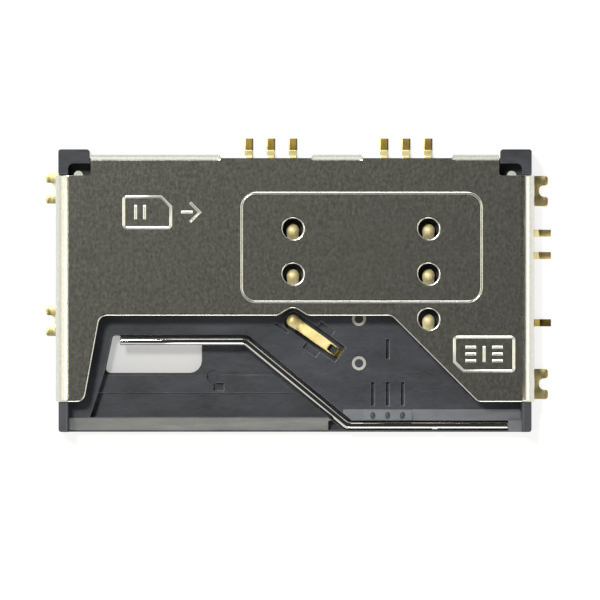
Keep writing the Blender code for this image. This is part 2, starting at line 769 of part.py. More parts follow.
def tab_slots(group):
    made = []
    foot = (TAB_PITCH + TAB_TOE) / 2 + TAB_GAP
    leg = TAB_LEG_WIDTH / 2 + TAB_GAP
    outer = BODY_X - TAB_INSET
    inner = outer - TAB_SHEET
    for side, places, name in ((-1, TABS_LEFT, "left"), (1, TABS_RIGHT, "right")):
        for i, place in enumerate(places):
            xs = sorted((side * (inner - TAB_GAP), side * (BODY_X + PAST)))
            low = (xs[0], place - foot, -PAST)
            high = (xs[1], place + foot, TAB_SHEET + TAB_GAP)
            made.append(box(f"tab_foot_{name}_{i + 1}", low, high, group))
            xs = sorted((side * (inner - TAB_GAP), side * (outer + TAB_GAP + TAB_BEND / 3)))
            low = (xs[0], place - leg, -PAST)
            high = (xs[1], place + leg, TAB_RISE + TAB_GAP)
            made.append(box(f"tab_leg_{name}_{i + 1}", low, high, group))
    return made


# Contacts

# Each lead runs from the beam's root to its terminal. The corners are places of the route in X and Y.
def contact_plans():
    left, right = PAD_X_LEFT, PAD_X_RIGHT
    rear, middle, front = (y - TIP_SET_BACK for y in PAD_Y)
    exit_y = REAR_Y + TERMINAL_BEND
    turn = BEAM_RUN + LEAD_TURN
    down = -math.pi / 2
    near, far = TERMINAL_PITCH, 2 * TERMINAL_PITCH
    root = Vector((left, front)) + SLANT_BEAM_RUN * direction(SLANT_BEAM_ANGLE)
    bend = root + LEAD_TURN * direction(SLANT_BEAM_ANGLE)
    return {
        "contact_c1": ((right, rear), down, BEAM_RUN, [
            (right, rear - turn), (right - near, rear - turn), (right - near, exit_y)]),
        "contact_c2": ((right, middle), down, BEAM_RUN, [
            (right, middle - turn), (right - far, middle - turn), (right - far, exit_y)]),
        "contact_c3": ((right, front), down, BEAM_RUN, [
            (right, front - turn), (right + near, front - turn),
            (right + near, rear + near), (right, rear + 2 * near), (right, exit_y)]),
        "contact_c5": ((left, rear), down, BEAM_RUN, [
            (left, rear - turn), (left - near, rear - turn), (left - near, exit_y)]),
        "contact_c6": ((left, middle), down, BEAM_RUN, [
            (left, middle - turn), (left - far, middle - turn), (left - far, exit_y)]),
        "contact_c7": ((left, front), SLANT_BEAM_ANGLE, SLANT_BEAM_RUN, [
            tuple(bend), (root.x + near, bend.y), (root.x + near, middle - near),
            (left + near, middle + near), (left + near, rear + near),
            (left, rear + 2 * near), (left, exit_y)]),
    }


def direction(angle):
    return Vector((math.cos(angle), math.sin(angle)))


# The beam's height falls from the tip to the lead along half a cosine wave
def beam_stations(tip, angle, run):
    along = direction(angle)
    stations = []
    nose = [(-0.98, 0.0), (-0.9, 0.15), (-0.6, 0.6), (0.0, 1.0), (0.6, 0.6)]
    for share, crown in nose:
        out = share * TIP_RADIUS
        width = 2 * TIP_RADIUS * math.sqrt(1 - min(share, 0) ** 2)
        height = TIP_Z - NOSE_DROP * share * share if share < 0 else beam_height(out, run)
        stations.append(((*(Vector(tip) + along * out), height), width, crown * TIP_CROWN))
    steps = 6
    for step in range(1, steps + 1):
        out = TIP_RADIUS + (run - TIP_RADIUS) * step / steps
        taper = BEAM_WIDTH + (LEAD_WIDTH - BEAM_WIDTH) * max(0, (step - steps + 1))
        stations.append(((*(Vector(tip) + along * out), beam_height(out, run)), taper, 0))
    return stations


def beam_height(out, run):
    return LEAD_Z + (TIP_Z - LEAD_Z) * (1 + math.cos(math.pi * out / run)) / 2


def terminal_stations(x):
    foot = CONTACT_SHEET / 2
    top = REAR_Y + TERMINAL_BEND
    return [
        ((x, top, LEAD_Z), TERMINAL_WIDTH, 0),
        ((x, top + TERMINAL_SLOPE, foot), TERMINAL_WIDTH, 0),
        ((x, REAR_Y + TERMINAL_REACH, foot), TERMINAL_WIDTH, 0),
    ]


def make_contacts(parts, cutters, housing, gold):
    for name, (tip, angle, run, route) in contact_plans().items():
        stations = beam_stations(tip, angle, run)
        stations += [((x, y, LEAD_Z), LEAD_WIDTH, 0) for x, y in route[:-1]]
        end_x = route[-1][0]
        stations.append(((end_x, REAR_Y - REAR_WALL, LEAD_Z), LEAD_WIDTH, 0))
        stations.append(((end_x, REAR_Y - REAR_WALL / 2, LEAD_Z), TERMINAL_WIDTH, 0))
        stations += terminal_stations(end_x)
        contact = ribbon(name, stations, CONTACT_SHEET, parts)
        cut(contact, beam_eye(name, tip, angle, run, cutters))
        finish(contact, gold, 40)
        cut(housing, *contact_room(name, tip, angle, run, route, cutters))


# The window near the beam's root, which leaves two narrow legs
def beam_eye(name, tip, angle, run, group):
    middle = Vector(tip) + direction(angle) * (run - EYE_FROM_ROOT - EYE_LENGTH / 2)
    eye = box(
        f"{name}_eye", (-EYE_LENGTH / 2, -EYE_WIDTH / 2, -PAST), (EYE_LENGTH / 2, EYE_WIDTH / 2, PAST), group
    )
    eye.data.transform(Matrix.Translation((*middle, TIP_Z / 2)) @ Matrix.Rotation(angle, 4, "Z"))
    return eye


# The pocket round the beam, blind below, and the channel under the floor for the lead
def contact_room(name, tip, angle, run, route, group):
    slanted = run == SLANT_BEAM_RUN
    half = (SLANT_POCKET_WIDTH if slanted else POCKET_WIDTH) / 2
    nose = TIP_RADIUS + POCKET_NOSE_GAP
    corner = min(half, nose) * 0.9
    outline = rounded([(-nose, -half, corner), (run, -half, 0), (run, half, 0), (-nose, half, corner)])
    pocket = plate(f"{name}_pocket", [outline], POCKET_FLOOR, FLOOR_TOP + PAST, group)
    pocket.data.transform(Matrix.Translation((*tip, 0)) @ Matrix.Rotation(angle, 4, "Z"))
    start = Vector(tip) + direction(angle) * (run - LEAD_TURN)
    high = LEAD_Z + CONTACT_SHEET / 2 + LEAD_GAP
    lane = strip(f"{name}_lane", [tuple(start)] + route, LEAD_WIDTH + 2 * LEAD_GAP, -PAST, high, group)
    end_x = route[-1][0]
    half = TERMINAL_WIDTH / 2 + LEAD_GAP
    door = box(
        f"{name}_door", (end_x - half, CARD_STOP_Y - LEAD_GAP, -PAST / 2), (end_x + half, REAR_Y + PAST, high), group
    )
    return pocket, lane, door


# Shallow wings on both sides of the slanted contact's pocket, and a relief slot beside its nose
def slant_pocket_marks(group):
    wing = box(
        "pocket_wings",
        (WING_FROM_TIP, -WING_SPAN / 2, FLOOR_TOP - WING_DEPTH),
        (WING_FROM_TIP + WING_LENGTH, WING_SPAN / 2, FLOOR_TOP + PAST),
        group,
    )
    relief = box(
        "pocket_relief",
        (TIP_RADIUS / 2 - RELIEF_LENGTH, -RELIEF_FROM_AXIS - RELIEF_WIDTH / 2, FLOOR_TOP - WING_DEPTH),
        (TIP_RADIUS / 2, -RELIEF_FROM_AXIS + RELIEF_WIDTH / 2, FLOOR_TOP + PAST),
        group,
    )
    tip = (PAD_X_LEFT, PAD_Y[2] - TIP_SET_BACK, 0)
    for made in (wing, relief):
        made.data.transform(Matrix.Translation(tip) @ Matrix.Rotation(SLANT_BEAM_ANGLE, 4, "Z"))
    return wing, relief


# Card switch

def switch_tail(name, y, x, top, group):
    foot = SWITCH_SHEET / 2
    level = LEAD_Z
    out = BODY_X + TERMINAL_BEND
    stations = [
        ((x, y, top), SWITCH_WIDTH, 0),
        ((x, y, level), SWITCH_WIDTH, 0),
        ((out, y, level), SWITCH_WIDTH, 0),
        ((out + TERMINAL_SLOPE, y, foot), SWITCH_WIDTH, 0),
        ((BODY_X + SWITCH_REACH, y, foot), SWITCH_WIDTH, 0),
    ]
    return ribbon(name, stations, SWITCH_SHEET, group, 1, (0, 1, 0))


def make_switch(parts, cutters, housing, gold):
    leaf_x = INNER_X + LEAF_INSET + SWITCH_SHEET / 2
    fixed_x = leaf_x + SWITCH_SHEET + FIXED_GAP
    leaf = switch_tail("switch_leaf", LEAF_Y, leaf_x, LEAF_HIGH - SWITCH_SHEET, parts)
    bulge_y = (LEAF_Y + FIXED_FIRST_Y) / 2 + SWITCH_WIDTH
    route = [
        (leaf_x, LEAF_Y - SWITCH_WIDTH / 2),
        (leaf_x, LEAF_Y + SWITCH_WIDTH),
        (leaf_x - LEAF_BULGE, bulge_y - SWITCH_WIDTH / 2),
        (leaf_x - LEAF_BULGE, bulge_y + SWITCH_WIDTH / 2),
        (leaf_x, FIXED_FIRST_Y - SWITCH_WIDTH / 2),
        (leaf_x, FIXED_SECOND_Y + SWITCH_WIDTH / 2),
    ]
    spring = strip("switch_spring", route, SWITCH_SHEET, LEAF_LOW, LEAF_HIGH, cutters)
    join(leaf, spring)
    finish(leaf, gold)
    for name, y in (("switch_contact_front", FIXED_FIRST_Y), ("switch_contact_rear", FIXED_SECOND_Y)):
        finish(switch_tail(name, y, fixed_x, LEAF_HIGH, parts), gold)
    pocket = box(
        "switch_pocket",
        (INNER_X - LEAF_INSET, LEAF_Y - SWITCH_POCKET_MARGIN, SWITCH_POCKET_FLOOR),
        (BODY_X - SWITCH_SKIN, FIXED_SECOND_Y + SWITCH_POCKET_MARGIN, POST_TOP + PAST),
        cutters,
    )
    cut(housing, pocket)
    half = SWITCH_WIDTH / 2 + LEAD_GAP
    high = max(LEAD_Z + SWITCH_SHEET / 2, SWITCH_POCKET_FLOOR) + LEAD_GAP
    for i, y in enumerate((LEAF_Y, FIXED_FIRST_Y, FIXED_SECOND_Y)):
        low = (leaf_x - SWITCH_SHEET / 2 - LEAD_GAP, y - half, -PAST)
        cut(housing, box(f"switch_door_{i + 1}", low, (BODY_X + PAST, y + half, high), cutters))


# Solder tabs: a foot with two toes, folded up into a leg that sits in a slot of the wall
def make_tabs(parts, gold):
    outer = BODY_X - TAB_INSET
    for side, places, reach, word in (
        (-1, TABS_LEFT, TAB_REACH_LEFT, "left"),
        (1, TABS_RIGHT, TAB_REACH_RIGHT, "right"),
    ):
        for place, end in zip(places, ("rear", "front")):
            name = f"solder_tab_{word}_{end}"
            toe = BODY_X + reach
            foot = (TAB_PITCH + TAB_TOE) / 2
            notch = (TAB_PITCH - TAB_TOE) / 2
            line = -(outer - TAB_SHEET / 2 + TAB_BEND)
            leg = -line - TAB_BEND * math.pi / 2 - (TAB_RISE - TAB_BEND)
            outline = rounded([
                (leg, -TAB_LEG_WIDTH / 2, TAB_BEND),
                (-line, -TAB_LEG_WIDTH / 2, 0),
                (-line, -foot, TAB_BEND / 2),
                (toe, -foot, TAB_BEND),
                (toe, -notch, TAB_BEND),
                (toe - TAB_NOTCH_DEPTH, -notch, notch * 0.9),
                (toe - TAB_NOTCH_DEPTH, notch, notch * 0.9),
                (toe, notch, TAB_BEND),
                (toe, foot, TAB_BEND),
                (-line, foot, TAB_BEND / 2),
                (-line, TAB_LEG_WIDTH / 2, 0),
                (leg, TAB_LEG_WIDTH / 2, TAB_BEND),
            ])
            bm = bmesh.new()
            flat = filled_mesh(name, [outline], 0)
            bm.from_mesh(flat)
            bpy.data.meshes.remove(flat)
            fold(bm, 0, -1, line, TAB_BEND, 1)
            bmesh.ops.scale(bm, verts=bm.verts, vec=(side, 1, 1))
            bmesh.ops.translate(bm, verts=bm.verts, vec=(0, place, TAB_SHEET / 2))
            tab = new_object(name, mesh_from(bm, name), parts)
            wall = tab.modifiers.new("sheet", "SOLIDIFY")
            wall.thickness = TAB_SHEET
            wall.offset = 0
            wall.use_even_offset = True
            finish(tab, gold)


# Cover

def opening_edge():
    leg_y = FRONT_Y + LEG_END
    edge_y = PAD_Y[2] + OPENING_PAST_PAD
    inner = -COVER_X + LEG_WIDTH
    top = inner + LEG_TAPER
    slant = PAD_X_RIGHT - OPENING_SLANT_X
    slant_end = slant + (edge_y - leg_y) / math.tan(OPENING_SLANT_ANGLE)
    points = [(inner, leg_y, OPENING_CORNER), (top, edge_y, OPENING_CORNER)]
    points += tongue(PAD_X_LEFT, edge_y, TIP_BUMP_WIDTH, TIP_BUMP_DEPTH)
    points += [(slant, edge_y, OPENING_CORNER), (slant_end, leg_y, OPENING_CORNER)]
    return points, leg_y


# The rear flanges from right to left: they end at the posts and leave the terminals free
def rear_flanges(notch_x):
    end = notch_x - POST_NOTCH_GAP
    return [
        (PAD_X_RIGHT + REAR_GAP_RIGHT_TO, end),
        (PAD_X_LEFT + REAR_GAP_LEFT_TO, PAD_X_RIGHT - REAR_GAP_RIGHT_FROM),
        (-end, PAD_X_LEFT - REAR_GAP_LEFT_FROM),
    ]


# A tongue with a rounded end, on an edge at one height and from left to right
def tongue(x, y, width, reach):
    points = []
    for step in range(-4, 5):
        share = step / 4
        points.append((x + share * width / 2, y + reach * (1 + math.cos(math.pi * share)) / 2, 0))
    return points


def cover_outline():
    side = COVER_X - SIDE_BEND + SIDE_BEND * math.pi / 2 + (COVER_TOP - SIDE_BEND - SIDE_FLANGE_Z)
    flat_rear = COVER_REAR_Y - REAR_BEND
    rear = flat_rear + REAR_BEND * math.pi / 2 + (COVER_TOP - REAR_BEND - REAR_FLANGE_Z)
    notch_x = POST_X - POST_NOTCH_GAP
    notch_y = POST_FRONT_Y - POST_NOTCH_GAP
    opening, leg_y = opening_edge()
    corners = [(-side, leg_y, 0)] + opening + [(side, leg_y, 0)]
    tongue_x = notch_x + NOTCH_TONGUE_X
    left_tongue = tongue(-tongue_x, notch_y, NOTCH_TONGUE_WIDTH, NOTCH_TONGUE_REACH)[::-1]
    right_tongue = tongue(tongue_x, notch_y, NOTCH_TONGUE_WIDTH, NOTCH_TONGUE_REACH)[::-1]
    corners += [(side, notch_y, 0)] + right_tongue + [(notch_x, notch_y, REAR_BEND), (notch_x, flat_rear, 0)]
    for left, right in rear_flanges(notch_x):
        corners += [(right, flat_rear, 0), (right - SHEET / 2, rear, 0)]
        corners += [(left + SHEET / 2, rear, 0), (left, flat_rear, 0)]
    corners += [(-notch_x, flat_rear, 0), (-notch_x, notch_y, REAR_BEND)] + left_tongue + [(-side, notch_y, 0)]
    return rounded(corners)


def sight_holes():
    places = [(PAD_X_LEFT, PAD_Y[0]), (PAD_X_LEFT, PAD_Y[1])]
    return places + [(PAD_X_RIGHT, y) for y in PAD_Y]


def lug_windows():
    outlines = []
    start = COVER_X - SIDE_BEND + SIDE_BEND * math.pi / 2 + (COVER_TOP - SIDE_BEND)
    half = LUG_HEIGHT / 2 + LUG_GAP
    near = start - LUG_Z - half
    far = start - LUG_Z + half
    for side, places in ((-1, LUGS_LEFT), (1, LUGS_RIGHT)):
        xs = sorted((side * near, side * far))
        for place in places:
            reach = LUG_LENGTH / 2 + LUG_GAP
            outlines.append(rectangle(xs[0], place - reach, xs[1], place + reach))
    return outlines


# Presses the rim of a sight hole down, as the punch leaves it
def coin_rim(bm, x, y):
    middle = Vector((x, y, 0))
    near = COIN_RADIUS + WELD * 10
    rim = [edge for edge in bm.edges if all((vert.co - middle).length < near for vert in edge.verts)]
    pressed = bmesh.ops.extrude_edge_only(bm, edges=rim)["geom"]
    verts = [item for item in pressed if isinstance(item, bmesh.types.BMVert)]
    share = SIGHT_HOLE_RADIUS / COIN_RADIUS
    bmesh.ops.scale(bm, verts=verts, vec=(share, share, 1), space=Matrix.Translation(-middle))
    bmesh.ops.translate(bm, verts=verts, vec=(0, 0, -COIN_DEPTH))


def make_cover(parts, cutters, steel):
    holes = [circle(x, y, COIN_RADIUS) for x, y in sight_holes()]
    bm = bmesh.new()
    flat = filled_mesh("cover_shell", [cover_outline()] + holes + lug_windows(), 0)
    bm.from_mesh(flat)
    bpy.data.meshes.remove(flat)
    for x, y in sight_holes():
        coin_rim(bm, x, y)
    line = COVER_X - SIDE_BEND
    fold(bm, 0, -1, line, SIDE_BEND, -1)
    fold(bm, 0, 1, line, SIDE_BEND, -1)
    fold(bm, 1, 1, COVER_REAR_Y - REAR_BEND, REAR_BEND, -1)
    bmesh.ops.translate(bm, verts=bm.verts, vec=(0, 0, COVER_TOP))
    mesh = mesh_from(bm, "cover_shell")
    cover = new_object("cover_shell", mesh, parts)
    wall = cover.modifiers.new("sheet", "SOLIDIFY")
    wall.thickness = SHEET
    wall.offset = -1
    wall.use_even_offset = True
    cut(cover, panel_groove(cutters), icon_groove(cutters))
    finish(cover, steel)


def groove(name, corners_at, group):
    outlines = [rounded(corners_at(-GROOVE_WIDTH / 2)), rounded(corners_at(GROOVE_WIDTH / 2))]
    return plate(name, outlines, COVER_TOP - GROOVE_DEPTH, COVER_TOP + PAST, group)


def panel_groove(group):
    def corners_at(inset):
        left = PAD_X_LEFT - PANEL_MARGIN_X + inset
        right = PAD_X_RIGHT + PANEL_MARGIN_X - inset
        front = PAD_Y[1] - PAD_PITCH_Y / 2 - PANEL_PAST_ROW + inset
        rear = PAD_Y[0] + PANEL_MARGIN_Y - inset
        radius = PANEL_CORNER - inset
        return [(left, front, radius), (right, front, radius), (right, rear, radius), (left, rear, radius)]

    return groove("panel_groove", corners_at, group)


def icon_groove(group):
    def corners_at(inset):
        right = COVER_X - SIDE_BEND - ICON_EDGE_X - inset
        left = right - ICON_WIDTH + 2 * inset
        front = FRONT_Y + ICON_FRONT + inset
        rear = front + ICON_HEIGHT - 2 * inset
        radius = ICON_CORNER - inset / 2
        corner = ICON_CUT - inset * 0.6
        return [
            (left + corner, front, 0),
            (right, front, radius),
            (right, rear, radius),
            (left, rear, radius),
            (left, front + corner, 0),
        ]

    return groove("icon_groove", corners_at, group)


# Sprung wire: a straight front leg, a slanted arm and a raised bar with a free end
def wire_route():
    corners = [
        Vector((INNER_X + WIRE_IN_WALL, LEG_Y, WIRE_LEG_Z)),
        Vector((BEND_FRONT_X, LEG_Y, WIRE_LEG_Z)),
        Vector((BEND_REAR_X, BAR_Y, BAR_Z)),
        Vector((BAR_END_X, BAR_Y, BAR_Z)),
    ]
    route = [corners[0]]
    for before, here, after in zip(corners, corners[1:], corners[2:]):
        back = (before - here).normalized()
        ahead = (after - here).normalized()
        half = back.angle(ahead) / 2
        reach = WIRE_BEND_RADIUS / math.tan(half)
        centre = here + (back + ahead).normalized() * WIRE_BEND_RADIUS / math.sin(half)
        first = here + back * reach - centre
        last = here + ahead * reach - centre
        for step in range(ARC_STEPS + 1):
            spoke = first.normalized().slerp(last.normalized(), step / ARC_STEPS)
            route.append(centre + spoke * WIRE_BEND_RADIUS)
    route.append(corners[-1])
    return route


def make_wire(parts, spring):
    hinge = Vector((0, LEG_Y, WIRE_LEG_Z))
    curve = bpy.data.curves.new("retaining_wire", "CURVE")
    curve.dimensions = "3D"
    curve.bevel_depth = WIRE_RADIUS
    curve.bevel_resolution = 3
    curve.use_fill_caps = True
    route = wire_route()
    spline = curve.splines.new("POLY")
    spline.points.add(len(route) - 1)
    for point, place in zip(spline.points, route):
        point.co = (*(place - hinge), 1)
    drawn = new_object("retaining_wire_route", curve, parts)
    mesh = mesh_of_curve(drawn)
    wire = new_object("retaining_wire", mesh, parts)
    wire.location = hinge
    finish(wire, spring, 40)


def main():
    clear_scene()
    parts = new_collection("sim_card_socket")
    cutters = new_collection("cutters")
    navy = new_material("housing_plastic", NAVY, 0.45, 0.0)
    steel = new_material("cover_sheet", STEEL, 0.35, 1.0)
    spring = new_material("spring_wire", SPRING, 0.15, 1.0)
    gold = new_material("gold_plate", GOLD, 0.25, 1.0)
    housing = housing_block(parts)
    cut(housing, above_walls(cutters), card_room(cutters), *wall_chamfers(cutters))
    cut(housing, wire_pit(cutters), front_ramp(cutters), sill_ramp(cutters))
    join(housing, pit_step(cutters), wire_keeper(cutters), *floor_pips(cutters))
    join(housing, *sill_bumps(cutters), *side_lugs(cutters))
    cut(housing, floor_window(cutters), *pit_marks(cutters), *leg_groove(cutters), *floor_marks(cutters))
    cut(housing, lip_gap(cutters), *tab_slots(cutters), *slant_pocket_marks(cutters))
    make_contacts(parts, cutters, housing, gold)
    make_switch(parts, cutters, housing, gold)
    make_tabs(parts, gold)
    finish(housing, navy)
    make_cover(parts, cutters, steel)
    make_wire(parts, spring)


main()
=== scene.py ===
# Looks of a card socket on a white table: stamped cover, moulded housing, gilt springs and a bright wire
import math

import bmesh
import bpy
from mathutils import Matrix, Vector


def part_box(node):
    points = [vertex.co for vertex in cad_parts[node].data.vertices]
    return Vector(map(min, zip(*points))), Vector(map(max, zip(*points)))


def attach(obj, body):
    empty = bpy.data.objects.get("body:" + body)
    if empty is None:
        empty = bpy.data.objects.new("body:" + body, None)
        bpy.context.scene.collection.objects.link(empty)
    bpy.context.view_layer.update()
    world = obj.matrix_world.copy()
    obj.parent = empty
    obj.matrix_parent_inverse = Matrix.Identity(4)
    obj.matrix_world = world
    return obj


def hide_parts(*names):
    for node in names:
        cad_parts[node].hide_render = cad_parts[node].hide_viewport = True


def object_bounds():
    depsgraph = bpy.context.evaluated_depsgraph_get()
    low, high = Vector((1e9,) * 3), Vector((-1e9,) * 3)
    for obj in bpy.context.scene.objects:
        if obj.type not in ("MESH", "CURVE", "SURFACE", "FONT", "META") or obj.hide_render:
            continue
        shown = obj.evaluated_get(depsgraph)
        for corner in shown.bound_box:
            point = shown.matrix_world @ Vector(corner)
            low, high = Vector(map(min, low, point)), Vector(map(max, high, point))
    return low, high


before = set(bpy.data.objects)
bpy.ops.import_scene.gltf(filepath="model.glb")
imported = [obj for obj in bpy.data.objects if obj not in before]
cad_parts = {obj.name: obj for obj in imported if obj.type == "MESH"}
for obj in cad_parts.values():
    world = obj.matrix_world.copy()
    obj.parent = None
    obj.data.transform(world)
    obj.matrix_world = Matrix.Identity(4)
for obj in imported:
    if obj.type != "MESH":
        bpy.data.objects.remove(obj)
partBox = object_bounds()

metresPerMm = 0.001
scene = bpy.context.scene


# Helpers

def inMm(nodeName):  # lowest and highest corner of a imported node
    low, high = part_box(nodeName)
    return low / metresPerMm, high / metresPerMm


def linear(hexColour, alpha=1.0):  # sRGB hex to the linear values that the sockets take
    channels = []
    for start in (1, 3, 5):
        value = int(hexColour[start:start + 2], 16) / 255
        channels.append(value / 12.92 if value <= 0.04045 else ((value + 0.055) / 1.055) ** 2.4)
    return (*channels, alpha)


def addNode(tree, kind, inputs=None, **settings):
    node = tree.nodes.new(kind)
    for name, value in settings.items():
        setattr(node, name, value)
    for name, value in (inputs or {}).items():
        if isinstance(value, bpy.types.NodeSocket):
            tree.links.new(value, node.inputs[name])
        else:
            node.inputs[name].default_value = value
    return node


def calc(tree, operation, first, second=0.0):
    return addNode(tree, "ShaderNodeMath", {0: first, 1: second}, operation=operation).outputs[0]


def newFinish(name):  # an empty material with its Principled shader
    material = bpy.data.materials.new(name)
    material.use_nodes = True
    tree = material.node_tree
    tree.nodes.clear()
    shader = addNode(tree, "ShaderNodeBsdfPrincipled")
    addNode(tree, "ShaderNodeOutputMaterial", {"Surface": shader.outputs[0]})
    return material, tree, shader


def grain(tree, sizeMm, detail=3.0, rough=0.55):  # noise whose cells have the real size, along X, Y and Z
    place = addNode(tree, "ShaderNodeTexCoord").outputs["Object"]
    scale = [1 / (size * metresPerMm) for size in sizeMm]
    turned = addNode(tree, "ShaderNodeMapping", {"Vector": place, "Scale": scale})
    return addNode(tree, "ShaderNodeTexNoise", {
        "Vector": turned.outputs[0], "Scale": 1.0, "Detail": detail, "Roughness": rough,
    }).outputs[0]


def between(tree, value, low, high, fromLow=0.3, fromHigh=0.7):
    return addNode(tree, "ShaderNodeMapRange", {
        "Value": value, "From Min": fromLow, "From Max": fromHigh, "To Min": low, "To Max": high,
    }).outputs[0]


def blendInk(tree, share, first, second):
    mixed = addNode(tree, "ShaderNodeMix", data_type="RGBA")
    mixed.inputs[6].default_value = linear(first)
    mixed.inputs[7].default_value = linear(second)
    tree.links.new(share, mixed.inputs[0])
    return mixed.outputs[2]


def dress(tree, shader, colour, roughness):
    tree.links.new(colour, shader.inputs["Base Color"])
    tree.links.new(roughness, shader.inputs["Roughness"])


def emboss(tree, shader, height, strength, depthMm):
    bump = addNode(tree, "ShaderNodeBump", {
        "Height": height, "Strength": strength, "Distance": depthMm * metresPerMm})
    tree.links.new(bump.outputs[0], shader.inputs["Normal"])


# Finishes

def nickelSheetFinish():
    # Nickel-plated spring steel, cold rolled: a satin grey mirror with fine lines along the rolling
    # direction, a faint mottle and a few small dents
    material, tree, shader = newFinish("nickelPlatedSteelSheet")
    lines = grain(tree, (0.06, 0.7, 0.7))
    mottle = grain(tree, (0.16, 0.22, 0.16), 3.0, 0.7)
    specks = grain(tree, (0.11, 0.11, 0.11), 1.0)
    colour = blendInk(tree, between(tree, mottle, 0, 1), "#cccdc3", "#dadbd1")
    streaks, patches = between(tree, lines, 0.19, 0.21), between(tree, mottle, 0.0, 0.045)
    dress(tree, shader, colour, calc(tree, "ADD", streaks, patches))
    shader.inputs["Metallic"].default_value = 1.0
    dents = between(tree, specks, 0.0, -0.6, 0.68, 0.78)
    emboss(tree, shader, calc(tree, "ADD", lines, dents), 0.5, 0.003)
    return material


def mouldedNavyFinish(name, dark, pale):
    # Liquid crystal polymer with glass fibre, injection moulded: blue-black, half matt, with faint flow
    # clouds. Its paler copies are painted light: highlights on rounded edges and rings, sheen on ramp and
    # sill.
    material, tree, shader = newFinish(name)
    flow = grain(tree, (3.0, 1.2, 1.2), 4.0, 0.6)
    fibres = grain(tree, (0.35, 0.06, 0.06), 2.0)
    colour = blendInk(tree, between(tree, flow, 0, 1), dark, pale)
    dress(tree, shader, colour, between(tree, fibres, 0.36, 0.5))
    shader.inputs["IOR"].default_value = 1.6
    emboss(tree, shader, fibres, 0.5, 0.004)
    return material


def giltBronzeFinish(name, pale, deep, lowRough, highRough):
    # Phosphor bronze strip with thin gold over nickel: warm. The dome copy is a rough worn crown, paler as a
    # painted highlight; a darker copy is painted shade on the open tip, and the darker foot copy also at
    # spring roots.
    material, tree, shader = newFinish(name)
    clouds = grain(tree, (0.5, 0.5, 0.5), 3.0)
    lines = grain(tree, (0.05, 0.6, 0.2))
    colour = blendInk(tree, between(tree, clouds, 0, 1), pale, deep)
    dress(tree, shader, colour, between(tree, lines, lowRough, highRough))
    shader.inputs["Metallic"].default_value = 1.0
    emboss(tree, shader, clouds, 0.4, 0.005)
    return material


def brightWireFinish():
    # Stainless spring wire, drawn and polished: a hard mirror with hair lines along it
    material, tree, shader = newFinish("brightDrawnWire")
    lines = grain(tree, (1.5, 0.04, 0.04))
    colour = blendInk(tree, between(tree, lines, 0, 1), "#cfccc6", "#e4e1db")
    dress(tree, shader, colour, between(tree, lines, 0.04, 0.07))
    shader.inputs["Metallic"].default_value = 1.0
    emboss(tree, shader, lines, 0.3, 0.001)
    return material


finishes = {
    "cover": nickelSheetFinish(),
    "housing": mouldedNavyFinish("mouldedNavyPolymer", "#1e232a", "#3a3f49"),
    # paler copies of the polymer are painted light: a highlight on rounded edges and rings, sheen on ramp and
    # sill
    "edge": mouldedNavyFinish("navyPolymerPaintedEdgeHighlight", "#494e54", "#6f7378"),
    "ramp": mouldedNavyFinish("navyPolymerPaintedRampSheen", "#636564", "#7e807e"),
    "sill": mouldedNavyFinish("navyPolymerPaintedSillSheen", "#64686e", "#7b7f86"),
    "ring": mouldedNavyFinish("navyPolymerPaintedRingHighlight", "#a2a4a2", "#bfc0bd"),
    "spring": giltBronzeFinish("giltSpringBronze", "#eee0ac", "#d9ca8c", 0.28, 0.38),
    # the darker foot finish is also used as painted shade on the springs' root ends
    "foot": giltBronzeFinish("giltFootBronzeAndPaintedShade", "#a08a4a", "#7e6c38", 0.26, 0.34),
    "tab": giltBronzeFinish("giltTabBronze", "#ece2ae", "#d0c284", 0.34, 0.44),
    "toe": giltBronzeFinish("tinnedToeBronze", "#e2d49c", "#c8b474", 0.3, 0.4),
    # the dome's pale colour is a painted highlight on the worn crown; the next, darker copy is painted shade
    # on the open tip
    "dome": giltBronzeFinish("wornDomeBronzeWithPaintedHighlight", "#fff8d4", "#faeebe", 0.7, 0.78),
    "paintedShadeTip": giltBronzeFinish("paintedShadeTipBronze", "#d9cd9b", "#c2b37c", 0.5, 0.6),
    "wire": brightWireFinish(),
}
print("finishes ready:", ", ".join(finishes))


# Making pieces

# Turns a bmesh in millimetres into a piece. Faces that are more level than the last value stay flat.
def makePiece(bm, name, finish, body, node, sharpDegrees, level=None):
    bmesh.ops.scale(bm, verts=bm.verts, vec=[metresPerMm] * 3)
    mesh = bpy.data.meshes.new(name)
    bm.to_mesh(mesh)
    bm.free()
    mesh.materials.append(finishes[finish])
    mesh.shade_smooth()
    mesh.set_sharp_from_angle(angle=math.radians(sharpDegrees))
    for polygon in mesh.polygons if level else ():
        polygon.use_smooth = abs(polygon.normal.z) < level
    piece = bpy.data.objects.new(name, mesh)
    scene.collection.objects.link(piece)
    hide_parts(node)
    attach(piece, body)
    return piece


def only(geometry, kind):
    return [item for item in geometry if isinstance(item, kind)]


def roundedPoints(corners, arcSteps=8):  # a corner is (x, y, radius), and a radius of 0 leaves it sharp
    points = []
    count = len(corners)
    for i, (x, y, radius) in enumerate(corners):
        here = Vector((x, y, 0))
        if not radius:
            points.append(here)
            continue
        before = (Vector((*corners[i - 1][:2], 0)) - here).normalized()
        after = (Vector((*corners[(i + 1) % count][:2], 0)) - here).normalized()
        half = before.angle(after) / 2
        reach = radius / math.tan(half)
        centre = here + (before + after).normalized() * radius / math.sin(half)
        spoke = here + before * reach - centre
        sweep = before.xy.angle_signed(-after.xy)
        for step in range(arcSteps + 1):
            points.append(centre + Matrix.Rotation(-sweep * step / arcSteps, 3, "Z") @ spoke)
    return points


def plateFace(bm, points):
    face = bm.faces.new([bm.verts.new(point) for point in points])
    face.normal_update()
    return face


